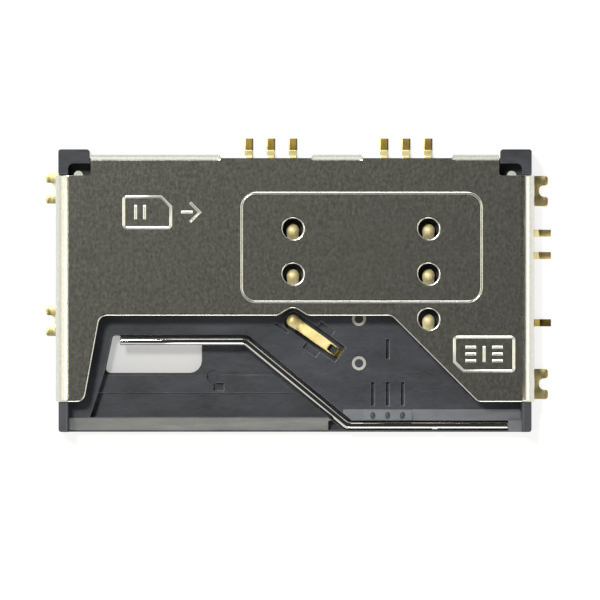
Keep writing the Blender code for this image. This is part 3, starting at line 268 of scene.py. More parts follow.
def openFace(bm, face):  # leaves the face's outline and takes the face away
    edges = face.edges[:]
    bmesh.ops.delete(bm, geom=[face], context="FACES_ONLY")
    return edges


def ringEdges(bm, x, y, radius, sides):
    place = Matrix.Translation((x, y, 0))
    ring = bmesh.ops.create_circle(bm, cap_ends=False, segments=sides, radius=radius, matrix=place)
    return list({edge for vert in ring["verts"] for edge in vert.link_edges})


def fillSheet(bm, edges):
    bmesh.ops.triangle_fill(bm, use_beauty=True, use_dissolve=False, edges=edges, normal=(0, 0, 1))


def bendStride(radius, steps, turnDegrees=90):  # length of each step, so that the bend reaches its radius
    turn = math.radians(turnDegrees)
    return radius * math.sin(turn) / sum(math.cos(turn * step / steps) for step in range(1, steps))


def cutAcross(bm, axis, places):
    for place in places:
        point, normal = Vector((0, 0, 0)), Vector((0, 0, 0))
        point[axis], normal[axis] = place, 1
        everything = bm.verts[:] + bm.edges[:] + bm.faces[:]
        bmesh.ops.bisect_plane(bm, geom=everything, dist=1e-5, plane_co=point, plane_no=normal)


# Bends what lies past a line of a flat sheet lying under z = top, all along or within the spans given.
# The steps turn one after the other.
def bendSheet(bm, axis, sign, line, radius, top, steps, turnDegrees=90, spans=((-99, 99),)):
    turn = math.radians(turnDegrees)
    stride = bendStride(radius, steps, turnDegrees)
    hinge = Vector((0, -sign, 0)) if axis == 0 else Vector((sign, 0, 0))
    moved = []
    hold = 0.05 / stride  # one more cut on either side keeps the flats evenly lit
    cuts = (-hold, *range(steps), steps - 1 + hold)
    cutAcross(bm, axis, [sign * (line + stride * step) for step in cuts])
    for step in range(steps):
        place = Vector((0, 0, top))
        place[axis] = sign * (line + stride * step)
        past = [vert for vert in bm.verts if sign * vert.co[axis] > line + stride * step + 1e-4
                and any(low - 1e-3 < vert.co[1 - axis] < high + 1e-3 for low, high in spans)]
        moved.append((place, past))
    for place, past in reversed(moved):
        rotation = Matrix.Rotation(-turn / steps, 3, hinge)
        bmesh.ops.rotate(bm, verts=past, cent=place, matrix=rotation)


# Cover

coverSet = {
    "sheet": 0.15, "sideBend": 0.75, "bendSteps": 10,
    "rearSoft": 0.15, "softSteps": 4, "rearLean": 27, "rearStrip": 0.2, "rearFold": 0.2, "rearFlangeZ": 1.0,
    "gapY": 7.48, "gapCorner": 0.1, "flangeFade": 0.28,
    "flanges": ((8.88, 11.47), (0.98, 3.76), (-11.47, -4.21)),
    "legWidth": 1.62, "legTaper": 0.88, "openingY": -1.36, "openingCorner": 0.5, "slantFrom": 5.43,
    "bulgeX": -0.12, "bulgeWidth": 2.0, "bulgeDepth": 0.43, "bulgeSteps": 12,
    "notchX": 11.47, "notchY": 6.52, "notchCorner": 0.15,
    "tongueX": 12.17, "tongueRadius": 0.26, "tongueLean": 30, "tongueSteps": 8,
    "squareInwards": 0.3, "squareOutwards": 0.03, "squareForwards": 0.25,
    "holes": ((-0.12, 3.53), (-0.12, 0.99), (7.5, 3.53), (7.5, 0.99), (7.5, -1.55)), "holeRadius": 0.585,
    "rollWidth": 0.11, "rollDrop": 0.06, "rollSteps": 4, "hold": 0.03,
    "grooveDepth": 0.05, "panelWidth": 0.13, "strokeWidth": 0.16, "strokeInset": 0.94,
    "panel": (-3.06, -0.645, 10.545, 5.595), "panelCorner": 0.87,
    "frame": (8.875, -4.545, 12.37, -2.49), "frameCut": 0.56, "frameCorner": 0.24,
    "chipBars": (1.05, 0.45), "chipPitch": 0.38, "chipReach": 0.45,
    "card": (-9.7, 3.5, -6.9, 5.4), "cardCut": 0.6, "cardCorner": 0.25,
    "cardBars": (0.75, 1.25), "cardReach": 0.4,
    "arrowShaft": (0.5, 1.15), "arrowHead": (1.0, 1.55), "arrowReach": 0.55,
    "lugWindow": (0.81, 1.19, 0.88),  # lowest and highest z, and length
    "lugWindowsLeft": (3.5, -4.6), "lugWindowsRight": (4.35, -3.5),
}


def rearLines(high):  # in the flat sheet: where the rear edge starts to lean, and where its flange folds
    s = coverSet
    lean = math.radians(s["rearLean"])
    soft = bendStride(s["rearSoft"], s["softSteps"], s["rearLean"]) * (s["softSteps"] - 1)
    reach = s["rearSoft"] * math.sin(lean) + s["rearStrip"] * math.cos(lean)
    reach += s["rearFold"] * (1 - math.sin(lean))
    start = high.y - reach
    return start, start + soft + s["rearStrip"]


def coverOutline(low, high):
    s = coverSet
    side = high.x - s["sideBend"] + bendStride(s["sideBend"], s["bendSteps"]) * (s["bendSteps"] - 1)
    side += high.z - s["sideBend"] - low.z
    foldLine = rearLines(high)[1]
    lean, fold = math.radians(s["rearLean"]), s["rearFold"]
    fallen = s["rearSoft"] * (1 - math.cos(lean)) + s["rearStrip"] * math.sin(lean) + fold * math.cos(lean)
    rear = foldLine + bendStride(fold, s["bendSteps"], 90 - s["rearLean"]) * (s["bendSteps"] - 1)
    rear += high.z - fallen - s["rearFlangeZ"]
    leg, edge, corner = low.y, s["openingY"], s["openingCorner"]
    inner = low.x + s["legWidth"]
    corners = [(-side, leg, 0), (inner, leg, corner), (inner + s["legTaper"], edge, corner)]
    for step in range(-s["bulgeSteps"], s["bulgeSteps"] + 1):
        share = step / s["bulgeSteps"]
        lift = s["bulgeDepth"] * (1 + math.cos(math.pi * share)) / 2
        corners.append((s["bulgeX"] + share * s["bulgeWidth"] / 2, edge + lift, 0))
    corners += [(s["slantFrom"], edge, corner), (s["slantFrom"] + edge - leg, leg, corner), (side, leg, 0)]
    half = [(side, s["notchY"], 0)]
    for step in range(s["tongueSteps"] + 1):
        turn = math.pi * step / s["tongueSteps"]
        x = s["tongueX"] + s["tongueRadius"] * math.cos(turn)
        half.append((x, s["notchY"] + s["tongueRadius"] * math.sin(turn), 0))
    half.append((s["notchX"], s["notchY"], s["notchCorner"]))
    corners += half
    for left, right in s["flanges"]:
        if right < s["notchX"]:
            corners += [(right + s["gapCorner"], s["gapY"], 0), (right, foldLine, 0)]
        corners += [(right, rear, 0), (left, rear, 0)]
        if left > -s["notchX"]:
            corners += [(left, foldLine, 0), (left - s["gapCorner"], s["gapY"], 0)]
    corners += [(-x, y, radius) for x, y, radius in reversed(half)]
    return roundedPoints(corners)


def vGroove(bm, points, width):  # a closed groove: its outer edges, and the face that it leaves inside
    known = set(bm.edges)
    face = plateFace(bm, points)
    for sink in (-coverSet["grooveDepth"], coverSet["grooveDepth"]):
        bmesh.ops.inset_individual(bm, faces=[face], thickness=width / 2, depth=sink, use_even_offset=True)
    outer = [edge for edge in bm.edges if edge.is_boundary and edge not in known]
    return outer, face


def strokeGroove(bm, path):  # a groove along an open path, closed at both ends
    known = set(bm.edges)
    path = [Vector(point) for point in path]
    width = coverSet["strokeWidth"] / 2
    sides = []
    for i, place in enumerate(path):
        steps = [b - a for a, b in ((path[i - 1], place),) if i] + [b - place for b in path[i + 1:i + 2]]
        normals = [Vector((-step.y, step.x)).normalized() for step in steps]
        middle = sum(normals, Vector((0, 0))).normalized()
        sides.append(middle * width / middle.dot(normals[0]))
    right = [(place - side).to_3d() for place, side in zip(path, sides)]
    left = [(place + side).to_3d() for place, side in zip(path, sides)]
    face = plateFace(bm, right + left[::-1])
    inset, depth = width * coverSet["strokeInset"], -coverSet["grooveDepth"]
    bmesh.ops.inset_individual(bm, faces=[face], thickness=inset, depth=depth, use_even_offset=True)
    return [edge for edge in bm.edges if edge.is_boundary and edge not in known]


def cardSign(bm):  # a plain card with a cut corner and an arrow, in the bare place at the rear left
    s = coverSet
    left, front, right, rear = s["card"]
    cut, corner = s["cardCut"], s["cardCorner"]
    outer, inside = vGroove(bm, roundedPoints([
        (left, front, corner), (right, front, corner), (right, rear - cut, 0), (right - cut, rear, 0),
        (left, rear, corner)]), s["strokeWidth"])
    middle, reach = (front + rear) / 2, s["arrowReach"]
    chip = openFace(bm, inside)
    for place in s["cardBars"]:
        chip += strokeGroove(bm, [(left + place, middle + end * s["cardReach"]) for end in (-1, 1)])
    arrow = strokeGroove(bm, [(right + place, middle) for place in s["arrowShaft"]])
    wing, point = (right + place for place in s["arrowHead"])
    arrow += strokeGroove(bm, [(wing, middle - reach), (point, middle), (wing, middle + reach)])
    return outer, chip, arrow


def chipSign(bm):  # a plain contact field inside the small frame
    s = coverSet
    left, front, right, rear = s["frame"]
    x, y = (left + right) / 2, (front + rear) / 2
    edges = []
    for side in (-1, 1):
        for row in (-1, 0, 1):
            bar = [(x + side * place, y + row * s["chipPitch"]) for place in s["chipBars"]]
            edges += strokeGroove(bm, bar[::-side])
    edges += strokeGroove(bm, [(x, y - s["chipReach"]), (x, y + s["chipReach"])])
    return edges


def boxPoints(box, corner):
    left, front, right, rear = box
    places = (left, front), (right, front), (right, rear), (left, rear)
    return roundedPoints([(x, y, corner) for x, y in places])


def punchWindow(bm, side, lineX, low, high, front, rear):  # a slot through the flange while it is flat
    near, far = sorted((side * low, side * high))
    for axis, places in ((0, (near, far)), (1, (front, rear))):
        for place in places:
            point, normal = Vector((0, 0, 0)), Vector((0, 0, 0))
            point[axis], normal[axis] = place, 1
            flange = [face for face in bm.faces if side * face.calc_center_median().x > lineX]
            parts = {item for face in flange for item in (*face.verts, *face.edges, face)}
            bmesh.ops.bisect_plane(bm, geom=list(parts), dist=1e-6, plane_co=point, plane_no=normal)
    inside = []
    for face in bm.faces:
        middle = face.calc_center_median()
        if near < middle.x < far and front < middle.y < rear and abs(face.normal.z) > 0.9:
            inside.append(face)
    bmesh.ops.delete(bm, geom=inside, context="FACES")
    rims = [edge for edge in bm.edges if edge.is_boundary]
    bmesh.ops.bridge_loops(bm, edges=rims)


def refillLevel(bm):  # new triangles for each level field, since the rolled edges have moved its outline
    top = coverSet["sheet"]
    level = {face for face in bm.faces if all(abs(vert.co.z - top) < 1e-5 for vert in face.verts)}
    while level:
        field, waiting = set(), [level.pop()]
        while waiting:
            face = waiting.pop()
            field.add(face)
            beside = {other for edge in face.edges for other in edge.link_faces if other in level}
            level -= beside
            waiting += beside
        edges = {edge for face in field for edge in face.edges}
        rim = [edge for edge in edges if sum(face in field for face in edge.link_faces) == 1]
        bmesh.ops.delete(bm, geom=list(field), context="FACES")
        fillSheet(bm, rim)


def squareRear(bm):  # no rolled edge along the rear, and the two small tongues lean down
    s = coverSet
    inner, outer = s["notchX"] - s["squareInwards"], s["tongueX"] + s["tongueRadius"] + s["squareOutwards"]
    for vert in bm.verts:
        x, y, z = vert.co
        past = y - s["notchY"]
        nearNotch = inner < abs(x) < outer and past > -s["squareForwards"]
        if z > 0.01 and (past > 0.02 or nearNotch):
            vert.co.z = s["sheet"]
    cutAcross(bm, 1, [s["notchY"]])
    for vert in bm.verts:
        past = vert.co.y - s["notchY"]
        if past > 0 and abs(abs(vert.co.x) - s["tongueX"]) < s["tongueRadius"] + 0.01:
            vert.co.z -= past * math.tan(math.radians(s["tongueLean"]))


def makeCover():
    s = coverSet
    low, high = inMm("cover_shell")
    bm = bmesh.new()
    outline = openFace(bm, plateFace(bm, coverOutline(low, high)))
    holes = [ringEdges(bm, x, y, s["holeRadius"], 48) for x, y in s["holes"]]
    panelOuter, panelInside = vGroove(bm, boxPoints(s["panel"], s["panelCorner"]), s["panelWidth"])
    left, front, right, rear = s["frame"]
    cut, corner = s["frameCut"], s["frameCorner"]
    frameOuter, frameInside = vGroove(bm, roundedPoints([
        (left + cut, front, 0), (right, front, corner), (right, rear, corner), (left, rear, corner),
        (left, front + cut, 0)]), s["strokeWidth"])
    cardOuter, chip, arrow = cardSign(bm)
    frameInner = openFace(bm, frameInside)
    frameInner += chipSign(bm)
    panelInner = openFace(bm, panelInside)
    fillSheet(bm, panelInner + [edge for hole in holes[:4] for edge in hole])
    fillSheet(bm, frameInner)
    fillSheet(bm, chip)
    fillSheet(bm, outline + holes[4] + panelOuter + frameOuter + cardOuter + arrow)
    bmesh.ops.recalc_face_normals(bm, faces=bm.faces)
    if sum(face.normal.z for face in bm.faces) < 0:
        bmesh.ops.reverse_faces(bm, faces=bm.faces)
    flat = bm.faces[:]
    raised = bmesh.ops.extrude_face_region(bm, geom=flat, use_keep_orig=True)["geom"]
    top = only(raised, bmesh.types.BMFace)
    bottomVerts = list({vert for face in flat for vert in face.verts})
    bmesh.ops.scale(bm, verts=bottomVerts, vec=(1, 1, 0))
    topVerts = only(raised, bmesh.types.BMVert)
    bmesh.ops.translate(bm, verts=topVerts, vec=(0, 0, s["sheet"] - s["rollDrop"]))
    bmesh.ops.recalc_face_normals(bm, faces=bm.faces)
    turns = [math.pi / 2 * step / s["rollSteps"] for step in range(s["rollSteps"] + 1)]
    rings = [(s["rollWidth"] * (math.cos(a) - math.cos(b)), s["rollDrop"] * (math.sin(b) - math.sin(a)))
             for a, b in zip(turns, turns[1:])]
    for width, rise in rings + [(s["hold"], 0)]:
        bmesh.ops.inset_region(bm, faces=top, use_boundary=True, use_even_offset=True, thickness=width)
        bmesh.ops.translate(bm, verts=list({vert for face in top for vert in face.verts}), vec=(0, 0, rise))
    refillLevel(bm)
    squareRear(bm)
    lineX = high.x - s["sideBend"]
    bendLength = bendStride(s["sideBend"], s["bendSteps"]) * (s["bendSteps"] - 1)
    flangeTop = lineX + bendLength + high.z - s["sideBend"]
    windowLow, windowHigh, windowLength = s["lugWindow"]
    cutAcross(bm, 0, (-lineX, lineX))
    for side, places in ((-1, s["lugWindowsLeft"]), (1, s["lugWindowsRight"])):
        for place in places:
            punchWindow(bm, side, lineX, flangeTop - windowHigh, flangeTop - windowLow,
                        place - windowLength / 2, place + windowLength / 2)
    for side in (-1, 1):
        bendSheet(bm, 0, side, lineX, s["sideBend"], s["sheet"], s["bendSteps"])
    rearLine, foldLine = rearLines(high)
    bendSheet(bm, 1, 1, foldLine, s["rearFold"], s["sheet"], s["bendSteps"], 90 - s["rearLean"])
    cutAcross(bm, 0, {x + aside for ends in s["flanges"] for x in ends if abs(x) < s["notchX"]
                      for aside in (-s["flangeFade"], 0, s["flangeFade"])})
    bendSheet(bm, 1, 1, rearLine, s["rearSoft"], s["sheet"], s["softSteps"], s["rearLean"], s["flanges"])
    bmesh.ops.translate(bm, verts=bm.verts, vec=(0, 0, high.z - s["sheet"]))
    bmesh.ops.recalc_face_normals(bm, faces=bm.faces)
    makePiece(bm, "stamped_cover", "cover", "socket", "cover_shell", 32, 0.9999)


makeCover()
print("cover stamped and bent")


# Housing

housingSet = {
    "edge": 0.02, "edgeSteps": 2, "sharpDegrees": 28, "shortest": 0.12, "flatDegrees": 0.6,
    "floorZ": 0.85, "frontY": -6.1, "padRise": 0.02, "levelUp": 0.998, "sillUp": 0.95, "rampUp": 0.7,
    "rings": ((3.6, -4.04), (3.6, -1.54)), "ringReach": 0.45, "ringRise": 0.01, "ringUp": 0.9,
    "finishes": ("housing", "edge", "ramp", "ring", "sill"),
}


def housingPart(face):  # paler finishes paint sheen on the ramp and on the sill with its pad, and a highlight on the raised rings
    s = housingSet
    middle, up = face.calc_center_median(), face.normal.z
    rise = middle.z - s["floorZ"]
    if middle.y < s["frontY"]:
        onPad = abs(rise - s["padRise"]) < 0.005 and up > s["levelUp"]
        slopes = rise < 0 and s["rampUp"] < up < s["levelUp"]
        if onPad or slopes and up >= s["sillUp"]:
            return "sill"
        return "ramp" if slopes else "housing"
    inRings = any((middle.xy - Vector(ring)).length < s["ringReach"] for ring in s["rings"])
    return "ring" if inRings and up > s["ringUp"] and rise > s["ringRise"] else "housing"


def makeHousing():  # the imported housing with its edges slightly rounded, as a mould leaves them
    s = housingSet
    bm = bmesh.new()
    bm.from_mesh(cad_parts["housing"].data)
    bmesh.ops.scale(bm, verts=bm.verts, vec=[1 / metresPerMm] * 3)
    bmesh.ops.remove_doubles(bm, verts=bm.verts, dist=1e-4)
    bmesh.ops.dissolve_limit(
        bm, angle_limit=math.radians(s["flatDegrees"]), use_dissolve_boundaries=False, verts=bm.verts,
        edges=bm.edges)
    sharp = math.radians(s["sharpDegrees"])
    edges = [edge for edge in bm.edges
             if edge.is_manifold and edge.calc_face_angle() > sharp and edge.calc_length() > s["shortest"]]
    for face in bm.faces:
        face.material_index = s["finishes"].index(housingPart(face))
    rounded = bmesh.ops.bevel(
        bm, geom=edges, affect="EDGES", offset=s["edge"], offset_type="OFFSET", segments=s["edgeSteps"],
        profile=0.5, material=-1, clamp_overlap=False)
    for face in rounded["faces"]:  # edges of plain faces take the paler edge finish, a painted highlight; ramp, sill and rings keep their painted sheen
        face.material_index = max(face.material_index, s["finishes"].index("edge"))
    piece = makePiece(bm, "moulded_housing", "housing", "socket", "housing", 24, 0.98)
    for finish in s["finishes"][1:]:
        piece.data.materials.append(finishes[finish])


makeHousing()
print("housing rounded")


# Spring contacts

contactSet = {
    "sheet": 0.12, "edge": 0.015, "cells": 6, "tipZ": 1.34, "leadZ": 0.3,
    "tipRadius": 0.32, "crown": 0.16, "crownAtTop": 0.07, "crownFade": 1.5, "noseDrop": 0.16,
    "noseStart": 8, "noseSteps": 9, "beamSteps": 24, "beamWidth": 0.58, "beamRun": 1.5, "setBack": 0.1,
    "leadWidth": 0.4, "leadTurn": 0.2, "slantRun": 3.28, "slantDegrees": -35.6,
    "eyeNear": 0.27, "eyeLength": 0.55, "domeReach": 0.46,
    "footWidth": 0.48, "footTop": 7.57, "footSlope": 0.4, "doorY": 7.2, "rearWallY": 7.35, "footY": 8.0,
    "pitch": 1.24, "left": -0.12, "right": 7.5, "rows": (3.53, 0.99, -1.55),
    "finishes": ("spring", "tab", "foot", "dome"),
}


def alongRoute(places):  # directions across a route, longer at its corners
    sides = []
    for i, place in enumerate(places):
        steps = [(place - places[i - 1]).xy] if i else []
        steps += [(after - place).xy for after in places[i + 1:i + 2]]
        normals = [Vector((-step.y, step.x)).normalized() for step in steps if step.length > 1e-9]
        middle = sum(normals, Vector((0, 0))).normalized()
        sides.append((middle / middle.dot(normals[0])).to_3d())
    return sides


def wrapStrip(bm, stations, cells, across=None):  # lays a flat grid along stations of (place, width, crown)
    places = [Vector(station[0]) for station in stations]
    sides = [Vector(across)] * len(places) if across else alongRoute(places)
    last = len(places) - 1
    bmesh.ops.create_grid(bm, x_segments=last, y_segments=cells, size=0.5)
    for vert in bm.verts:
        i = round((vert.co.x + 0.5) * last)
        share = vert.co.y * 2
        rise = Vector((0, 0, stations[i][2] * (1 - share * share)))
        vert.co = places[i] + sides[i] * (share * stations[i][1] / 2) + rise


def beamStations(tip, degrees, run):
    s = contactSet
    along = Vector((math.cos(math.radians(degrees)), math.sin(math.radians(degrees))))
    stations = []
    for step in range(s["noseSteps"] + 1):  # the round nose
        share = -math.cos(math.radians(s["noseStart"] + (90 - s["noseStart"]) * step / s["noseSteps"]))
        width = 2 * s["tipRadius"] * math.sqrt(1 - share * share)
        rise = s["crown"] * (1 - share * share)
        drop = (s["crownAtTop"] - s["crown"]) * (1 - share * share) - s["noseDrop"] * share * share
        stations.append((share * s["tipRadius"], width, rise, drop))
    for step in range(1, s["beamSteps"] + 1):
        out = run * step / s["beamSteps"]
        dome = max(0.0, 1 - (out / (s["crownFade"] * s["tipRadius"])) ** 2)
        width = 2 * s["tipRadius"] + (s["beamWidth"] - 2 * s["tipRadius"]) * min(1, out / s["tipRadius"])
        if step == s["beamSteps"]:
            width = s["leadWidth"]
        stations.append((out, width, s["crown"] * dome, (s["crownAtTop"] - s["crown"]) * dome))
    made = []
    for out, width, crown, drop in stations:
        fall = (1 + math.cos(math.pi * max(out, 0) / run)) / 2
        height = s["leadZ"] + (s["tipZ"] - s["leadZ"]) * fall + drop
        made.append(((*(Vector(tip) + along * out), height), width, crown))
    return made


def swoop(start, run, high, low, steps=8):  # (distance, height) along a smooth fall
    places = []
    for step in range(steps + 1):
        share = step / steps
        fall = (1 - math.cos(math.pi * share)) / 2
        places.append((start + run * share, high + (low - high) * fall))
    return places


def footStations(x):
    s = contactSet
    foot = s["sheet"] / 2
    places = swoop(s["footTop"], s["footSlope"], s["leadZ"], foot) + [(inMm("contact_c1")[1].y, foot)]
    return [((x, y, z), s["footWidth"], 0) for y, z in places]


def contactPlans():  # for each node: tip, beam's degrees and run, corners of its lead, and its foot's x
    s = contactSet
    rear, middle, front = (y - s["setBack"] for y in s["rows"])
    left, right, near, far = s["left"], s["right"], s["pitch"], 2 * s["pitch"]
    turn = s["beamRun"] + s["leadTurn"]
    slant = Vector((math.cos(math.radians(s["slantDegrees"])), math.sin(math.radians(s["slantDegrees"]))))
    root = Vector((left, front)) + slant * s["slantRun"]
    bend = root + slant * s["leadTurn"]
    run = s["beamRun"]
    return {
        "c1": ((right, rear), -90, run, [(right, rear - turn), (right - near, rear - turn)], right - near),
        "c2": ((right, middle), -90, run, [(right, middle - turn), (right - far, middle - turn)], right - far),
        "c3": ((right, front), -90, run, [
            (right, front - turn), (right + near, front - turn), (right + near, rear + near),
            (right, rear + 2 * near)], right),
        "c5": ((left, rear), -90, run, [(left, rear - turn), (left - near, rear - turn)], left - near),
        "c6": ((left, middle), -90, run, [(left, middle - turn), (left - far, middle - turn)], left - far),
        "c7": ((left, front), s["slantDegrees"], s["slantRun"], [
            tuple(bend), (root.x + near, bend.y), (root.x + near, middle - near),
            (left + near, middle + near), (left + near, rear + near), (left, rear + 2 * near)], left),
    }


def thicken(piece, thickness, edge):
    wall = piece.modifiers.new("sheet", "SOLIDIFY")
    wall.thickness = thickness * metresPerMm
    wall.offset = 0
    wall.use_even_offset = True
    soft = piece.modifiers.new("edges", "BEVEL")
    soft.width = edge * metresPerMm
    soft.segments = 2
    soft.limit_method = "ANGLE"
    soft.angle_limit = math.radians(50)


def makeContacts():
    s = contactSet
    for name, (tip, degrees, run, route, end) in contactPlans().items():
        stations = beamStations(tip, degrees, run)
        beamEnd = len(stations) - 1
        stations += [((x, y, s["leadZ"]), s["leadWidth"], 0) for x, y in route]
        stations.append(((end, s["doorY"], s["leadZ"]), s["leadWidth"], 0))
        stations.append(((end, s["rearWallY"], s["leadZ"]), s["footWidth"], 0))
        stations += footStations(end)
        bm = bmesh.new()
        wrapStrip(bm, stations, s["cells"])
        first, last = Vector(stations[0][0]).xy, Vector(stations[beamEnd][0]).xy
        along = (last - first).normalized()
        eye = []
        for face in bm.faces:
            middle = face.calc_center_median().xy
            off = middle - Vector(tip)
            fromRoot = run - off.dot(along)
            aside = abs(off.dot(Vector((-along.y, along.x))))
            if s["eyeNear"] < fromRoot < s["eyeNear"] + s["eyeLength"] and aside < s["beamWidth"] / 3:
                eye.append(face)
            part = "spring"
            if middle.y > s["rearWallY"]:
                part = "tab" if middle.y < s["footY"] else "foot"
            # the root end of each spring takes the darker foot finish as painted shade
            if -s["leadTurn"] < fromRoot < s["eyeNear"]:
                part = "foot"
            # the dome takes the pale dome finish, a painted highlight
            if off.length < s["domeReach"]:
                part = "dome"
            face.material_index = s["finishes"].index(part)
        bmesh.ops.delete(bm, geom=eye, context="FACES")
        bmesh.ops.recalc_face_normals(bm, faces=bm.faces)
        piece = makePiece(
            bm, "spring_contact_" + name, "spring", "socket", "contact_" + name, 50)
        for finish in s["finishes"][1:]:
            bare = finish == "dome" and name == "c7"  # the one tip in the open, which no cover shields, gets a darker copy of the dome finish as painted shade
            piece.data.materials.append(finishes["paintedShadeTip" if bare else finish])
        thicken(piece, s["sheet"], s["edge"])


makeContacts()
print("contacts sprung")


# Card switch

switchSet = {
    "sheet": 0.1, "edge": 0.015, "width": 0.4, "wallX": 13.3, "bend": 0.07, "slope": 0.4, "leadZ": 0.3,
}


def makeSwitchTail(node, y, x, top, reach):
    s = switchSet
    foot = s["sheet"] / 2
    places = [(x, top), (x, s["leadZ"])]
    places += swoop(s["wallX"] + s["bend"], s["slope"], s["leadZ"], foot) + [(reach, foot)]
    bm = bmesh.new()
    wrapStrip(bm, [((out, y, z), s["width"], 0) for out, z in places], 2, (0, 1, 0))
    bmesh.ops.recalc_face_normals(bm, faces=bm.faces)
    piece = makePiece(bm, node + "_tail", "toe", "socket", node, 50)
    thicken(piece, s["sheet"], s["edge"])


def makeSwitch():
    for node in ("switch_contact_front", "switch_contact_rear"):
        low, high = inMm(node)
        makeSwitchTail(node, (low.y + high.y) / 2, low.x + switchSet["sheet"] / 2, high.z, high.x)
    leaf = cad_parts["switch_leaf"]
    leaf.data.materials.clear()
    leaf.data.materials.append(finishes["foot"])


makeSwitch()
print("switch fitted")


# Solder tabs

tabSet = {
    "sheet": 0.12, "toe": 0.54, "pitch": 1.17, "notch": 0.5, "notchRound": 0.9, "bend": 0.16, "tuck": 0.02,
    "legWidth": 1.1, "steps": 8, "edge": 0.02, "dullToe": 0.3,
}


def makeTab(node, side):
    s = tabSet
    low, high = inMm(node)
    toe = max(abs(low.x), abs(high.x))
    line = min(abs(low.x), abs(high.x)) + s["bend"] + s["sheet"] / 2 - s["tuck"]
    rise = bendStride(s["bend"], s["steps"]) * (s["steps"] - 1) + high.z - s["bend"] - s["sheet"]
    leg, foot, notch = line - rise, (s["pitch"] + s["toe"]) / 2, (s["pitch"] - s["toe"]) / 2
    bend, half, hollow = s["bend"], s["legWidth"] / 2, notch * s["notchRound"]
    bm = bmesh.new()
    face = plateFace(bm, roundedPoints([
        (leg, -half, bend), (line, -half, 0), (line, -foot, bend / 2), (toe, -foot, bend), (toe, -notch, bend),
        (toe - s["notch"], -notch, hollow), (toe - s["notch"], notch, hollow), (toe, notch, bend),
        (toe, foot, bend), (line, foot, bend / 2), (line, half, 0), (leg, half, bend)]))
    raised = bmesh.ops.extrude_face_region(bm, geom=[face], use_keep_orig=True)["geom"]
    bmesh.ops.translate(bm, verts=only(raised, bmesh.types.BMVert), vec=(0, 0, s["sheet"]))
    bmesh.ops.recalc_face_normals(bm, faces=bm.faces)
    rims = [edge for edge in bm.edges
            if edge.calc_face_angle() > 1 and abs(edge.verts[0].co.z - edge.verts[1].co.z) < 1e-6]
    bmesh.ops.bevel(bm, geom=rims, affect="EDGES", offset=s["edge"], segments=2, profile=0.5, material=-1)
    bmesh.ops.triangulate(bm, faces=[face for face in bm.faces if len(face.verts) > 4])
    bendUp(bm, line, s["bend"], s["steps"])
    if side < 0:
        bmesh.ops.scale(bm, verts=bm.verts, vec=(-1, 1, 1))
    bmesh.ops.translate(bm, verts=bm.verts, vec=(0, (low.y + high.y) / 2, 0))
    bmesh.ops.recalc_face_normals(bm, faces=bm.faces)
    for face in bm.faces:
        face.material_index = int(abs(face.calc_center_median().x) > toe - s["dullToe"])
    piece = makePiece(bm, node.replace("solder", "gilt"), "tab", "socket", node, 40)
    piece.data.materials.append(finishes["toe"])


def bendUp(bm, line, radius, steps):  # the leg, which lies inwards of the line, turns up
    stride = bendStride(radius, steps)
    lines = [line - stride * step for step in range(steps)]
    cutAcross(bm, 0, lines)
    bends = [(x, [vert for vert in bm.verts if vert.co.x < x - 1e-4]) for x in lines]
    rotation = Matrix.Rotation(math.pi / 2 / steps, 3, "Y")
    for x, past in reversed(bends):
        bmesh.ops.rotate(bm, verts=past, cent=(x, 0, 0), matrix=rotation)


for tabNode in sorted(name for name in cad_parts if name.startswith("solder_tab")):
    makeTab(tabNode, -1 if "left" in tabNode else 1)
print("tabs folded")


# Sprung wire

wireSet = {
    "radius": 0.24, "sides": 28, "bendRadius": 0.6, "bendSteps": 10, "legZ": 0.5, "lift": 0.48,
    "legY": -7.53, "barY": -2.79, "rearX": -2.80, "frontX": 2.95, "endEdge": 0.05,
}


def makeWire():
    s = wireSet
    low, high = inMm("retaining_wire")
    barZ = s["legZ"] + s["lift"]
    corners = [Vector(place) for place in (
        (high.x, s["legY"], s["legZ"]), (s["frontX"], s["legY"], s["legZ"]),
        (s["rearX"], s["barY"], barZ), (low.x, s["barY"], barZ))]
    bm = bmesh.new()
    place = Matrix.Translation(corners[0]) @ Matrix.Rotation(math.pi / 2, 4, "Y")
    ring = bmesh.ops.create_circle(bm, cap_ends=True, segments=s["sides"], radius=s["radius"], matrix=place)
    edges = list({edge for vert in ring["verts"] for edge in vert.link_edges})
    here = corners[0]
    for before, corner, after in zip(corners, corners[1:], corners[2:] + [None]):
        ahead = (corner - before).normalized()
        reach = 0
        if after:
            onward = (after - corner).normalized()
            turn = ahead.angle(onward)
            reach = s["bendRadius"] * math.tan(turn / 2)
        run = corner - ahead * reach - here
        edges, here = extrudeRing(bm, edges, run), here + run
        if after:
            axis = ahead.cross(onward).normalized()
            centre = here + axis.cross(ahead).normalized() * s["bendRadius"]
            spun = bmesh.ops.spin(
                bm, geom=edges, cent=centre, axis=axis, angle=turn, steps=s["bendSteps"], use_duplicate=False)
            edges = only(spun["geom_last"], bmesh.types.BMEdge)
            here = centre + Matrix.Rotation(turn, 3, axis) @ (here - centre)
    bmesh.ops.edgeloop_fill(bm, edges=edges)
    bmesh.ops.remove_doubles(bm, verts=bm.verts, dist=1e-5)
    bmesh.ops.recalc_face_normals(bm, faces=bm.faces)
    caps = [face for face in bm.faces if len(face.verts) > 4]
    rims = [edge for face in caps for edge in face.edges]
    bmesh.ops.bevel(bm, geom=rims, affect="EDGES", offset=s["endEdge"], segments=3, profile=0.5, material=-1)
    makePiece(bm, "bright_wire", "wire", "wire", "retaining_wire", 40)


def extrudeRing(bm, edges, run):
    grown = bmesh.ops.extrude_edge_only(bm, edges=edges)["geom"]
    bmesh.ops.translate(bm, verts=only(grown, bmesh.types.BMVert), vec=run)
    return [edge for edge in only(grown, bmesh.types.BMEdge) if len(edge.link_faces) == 1]


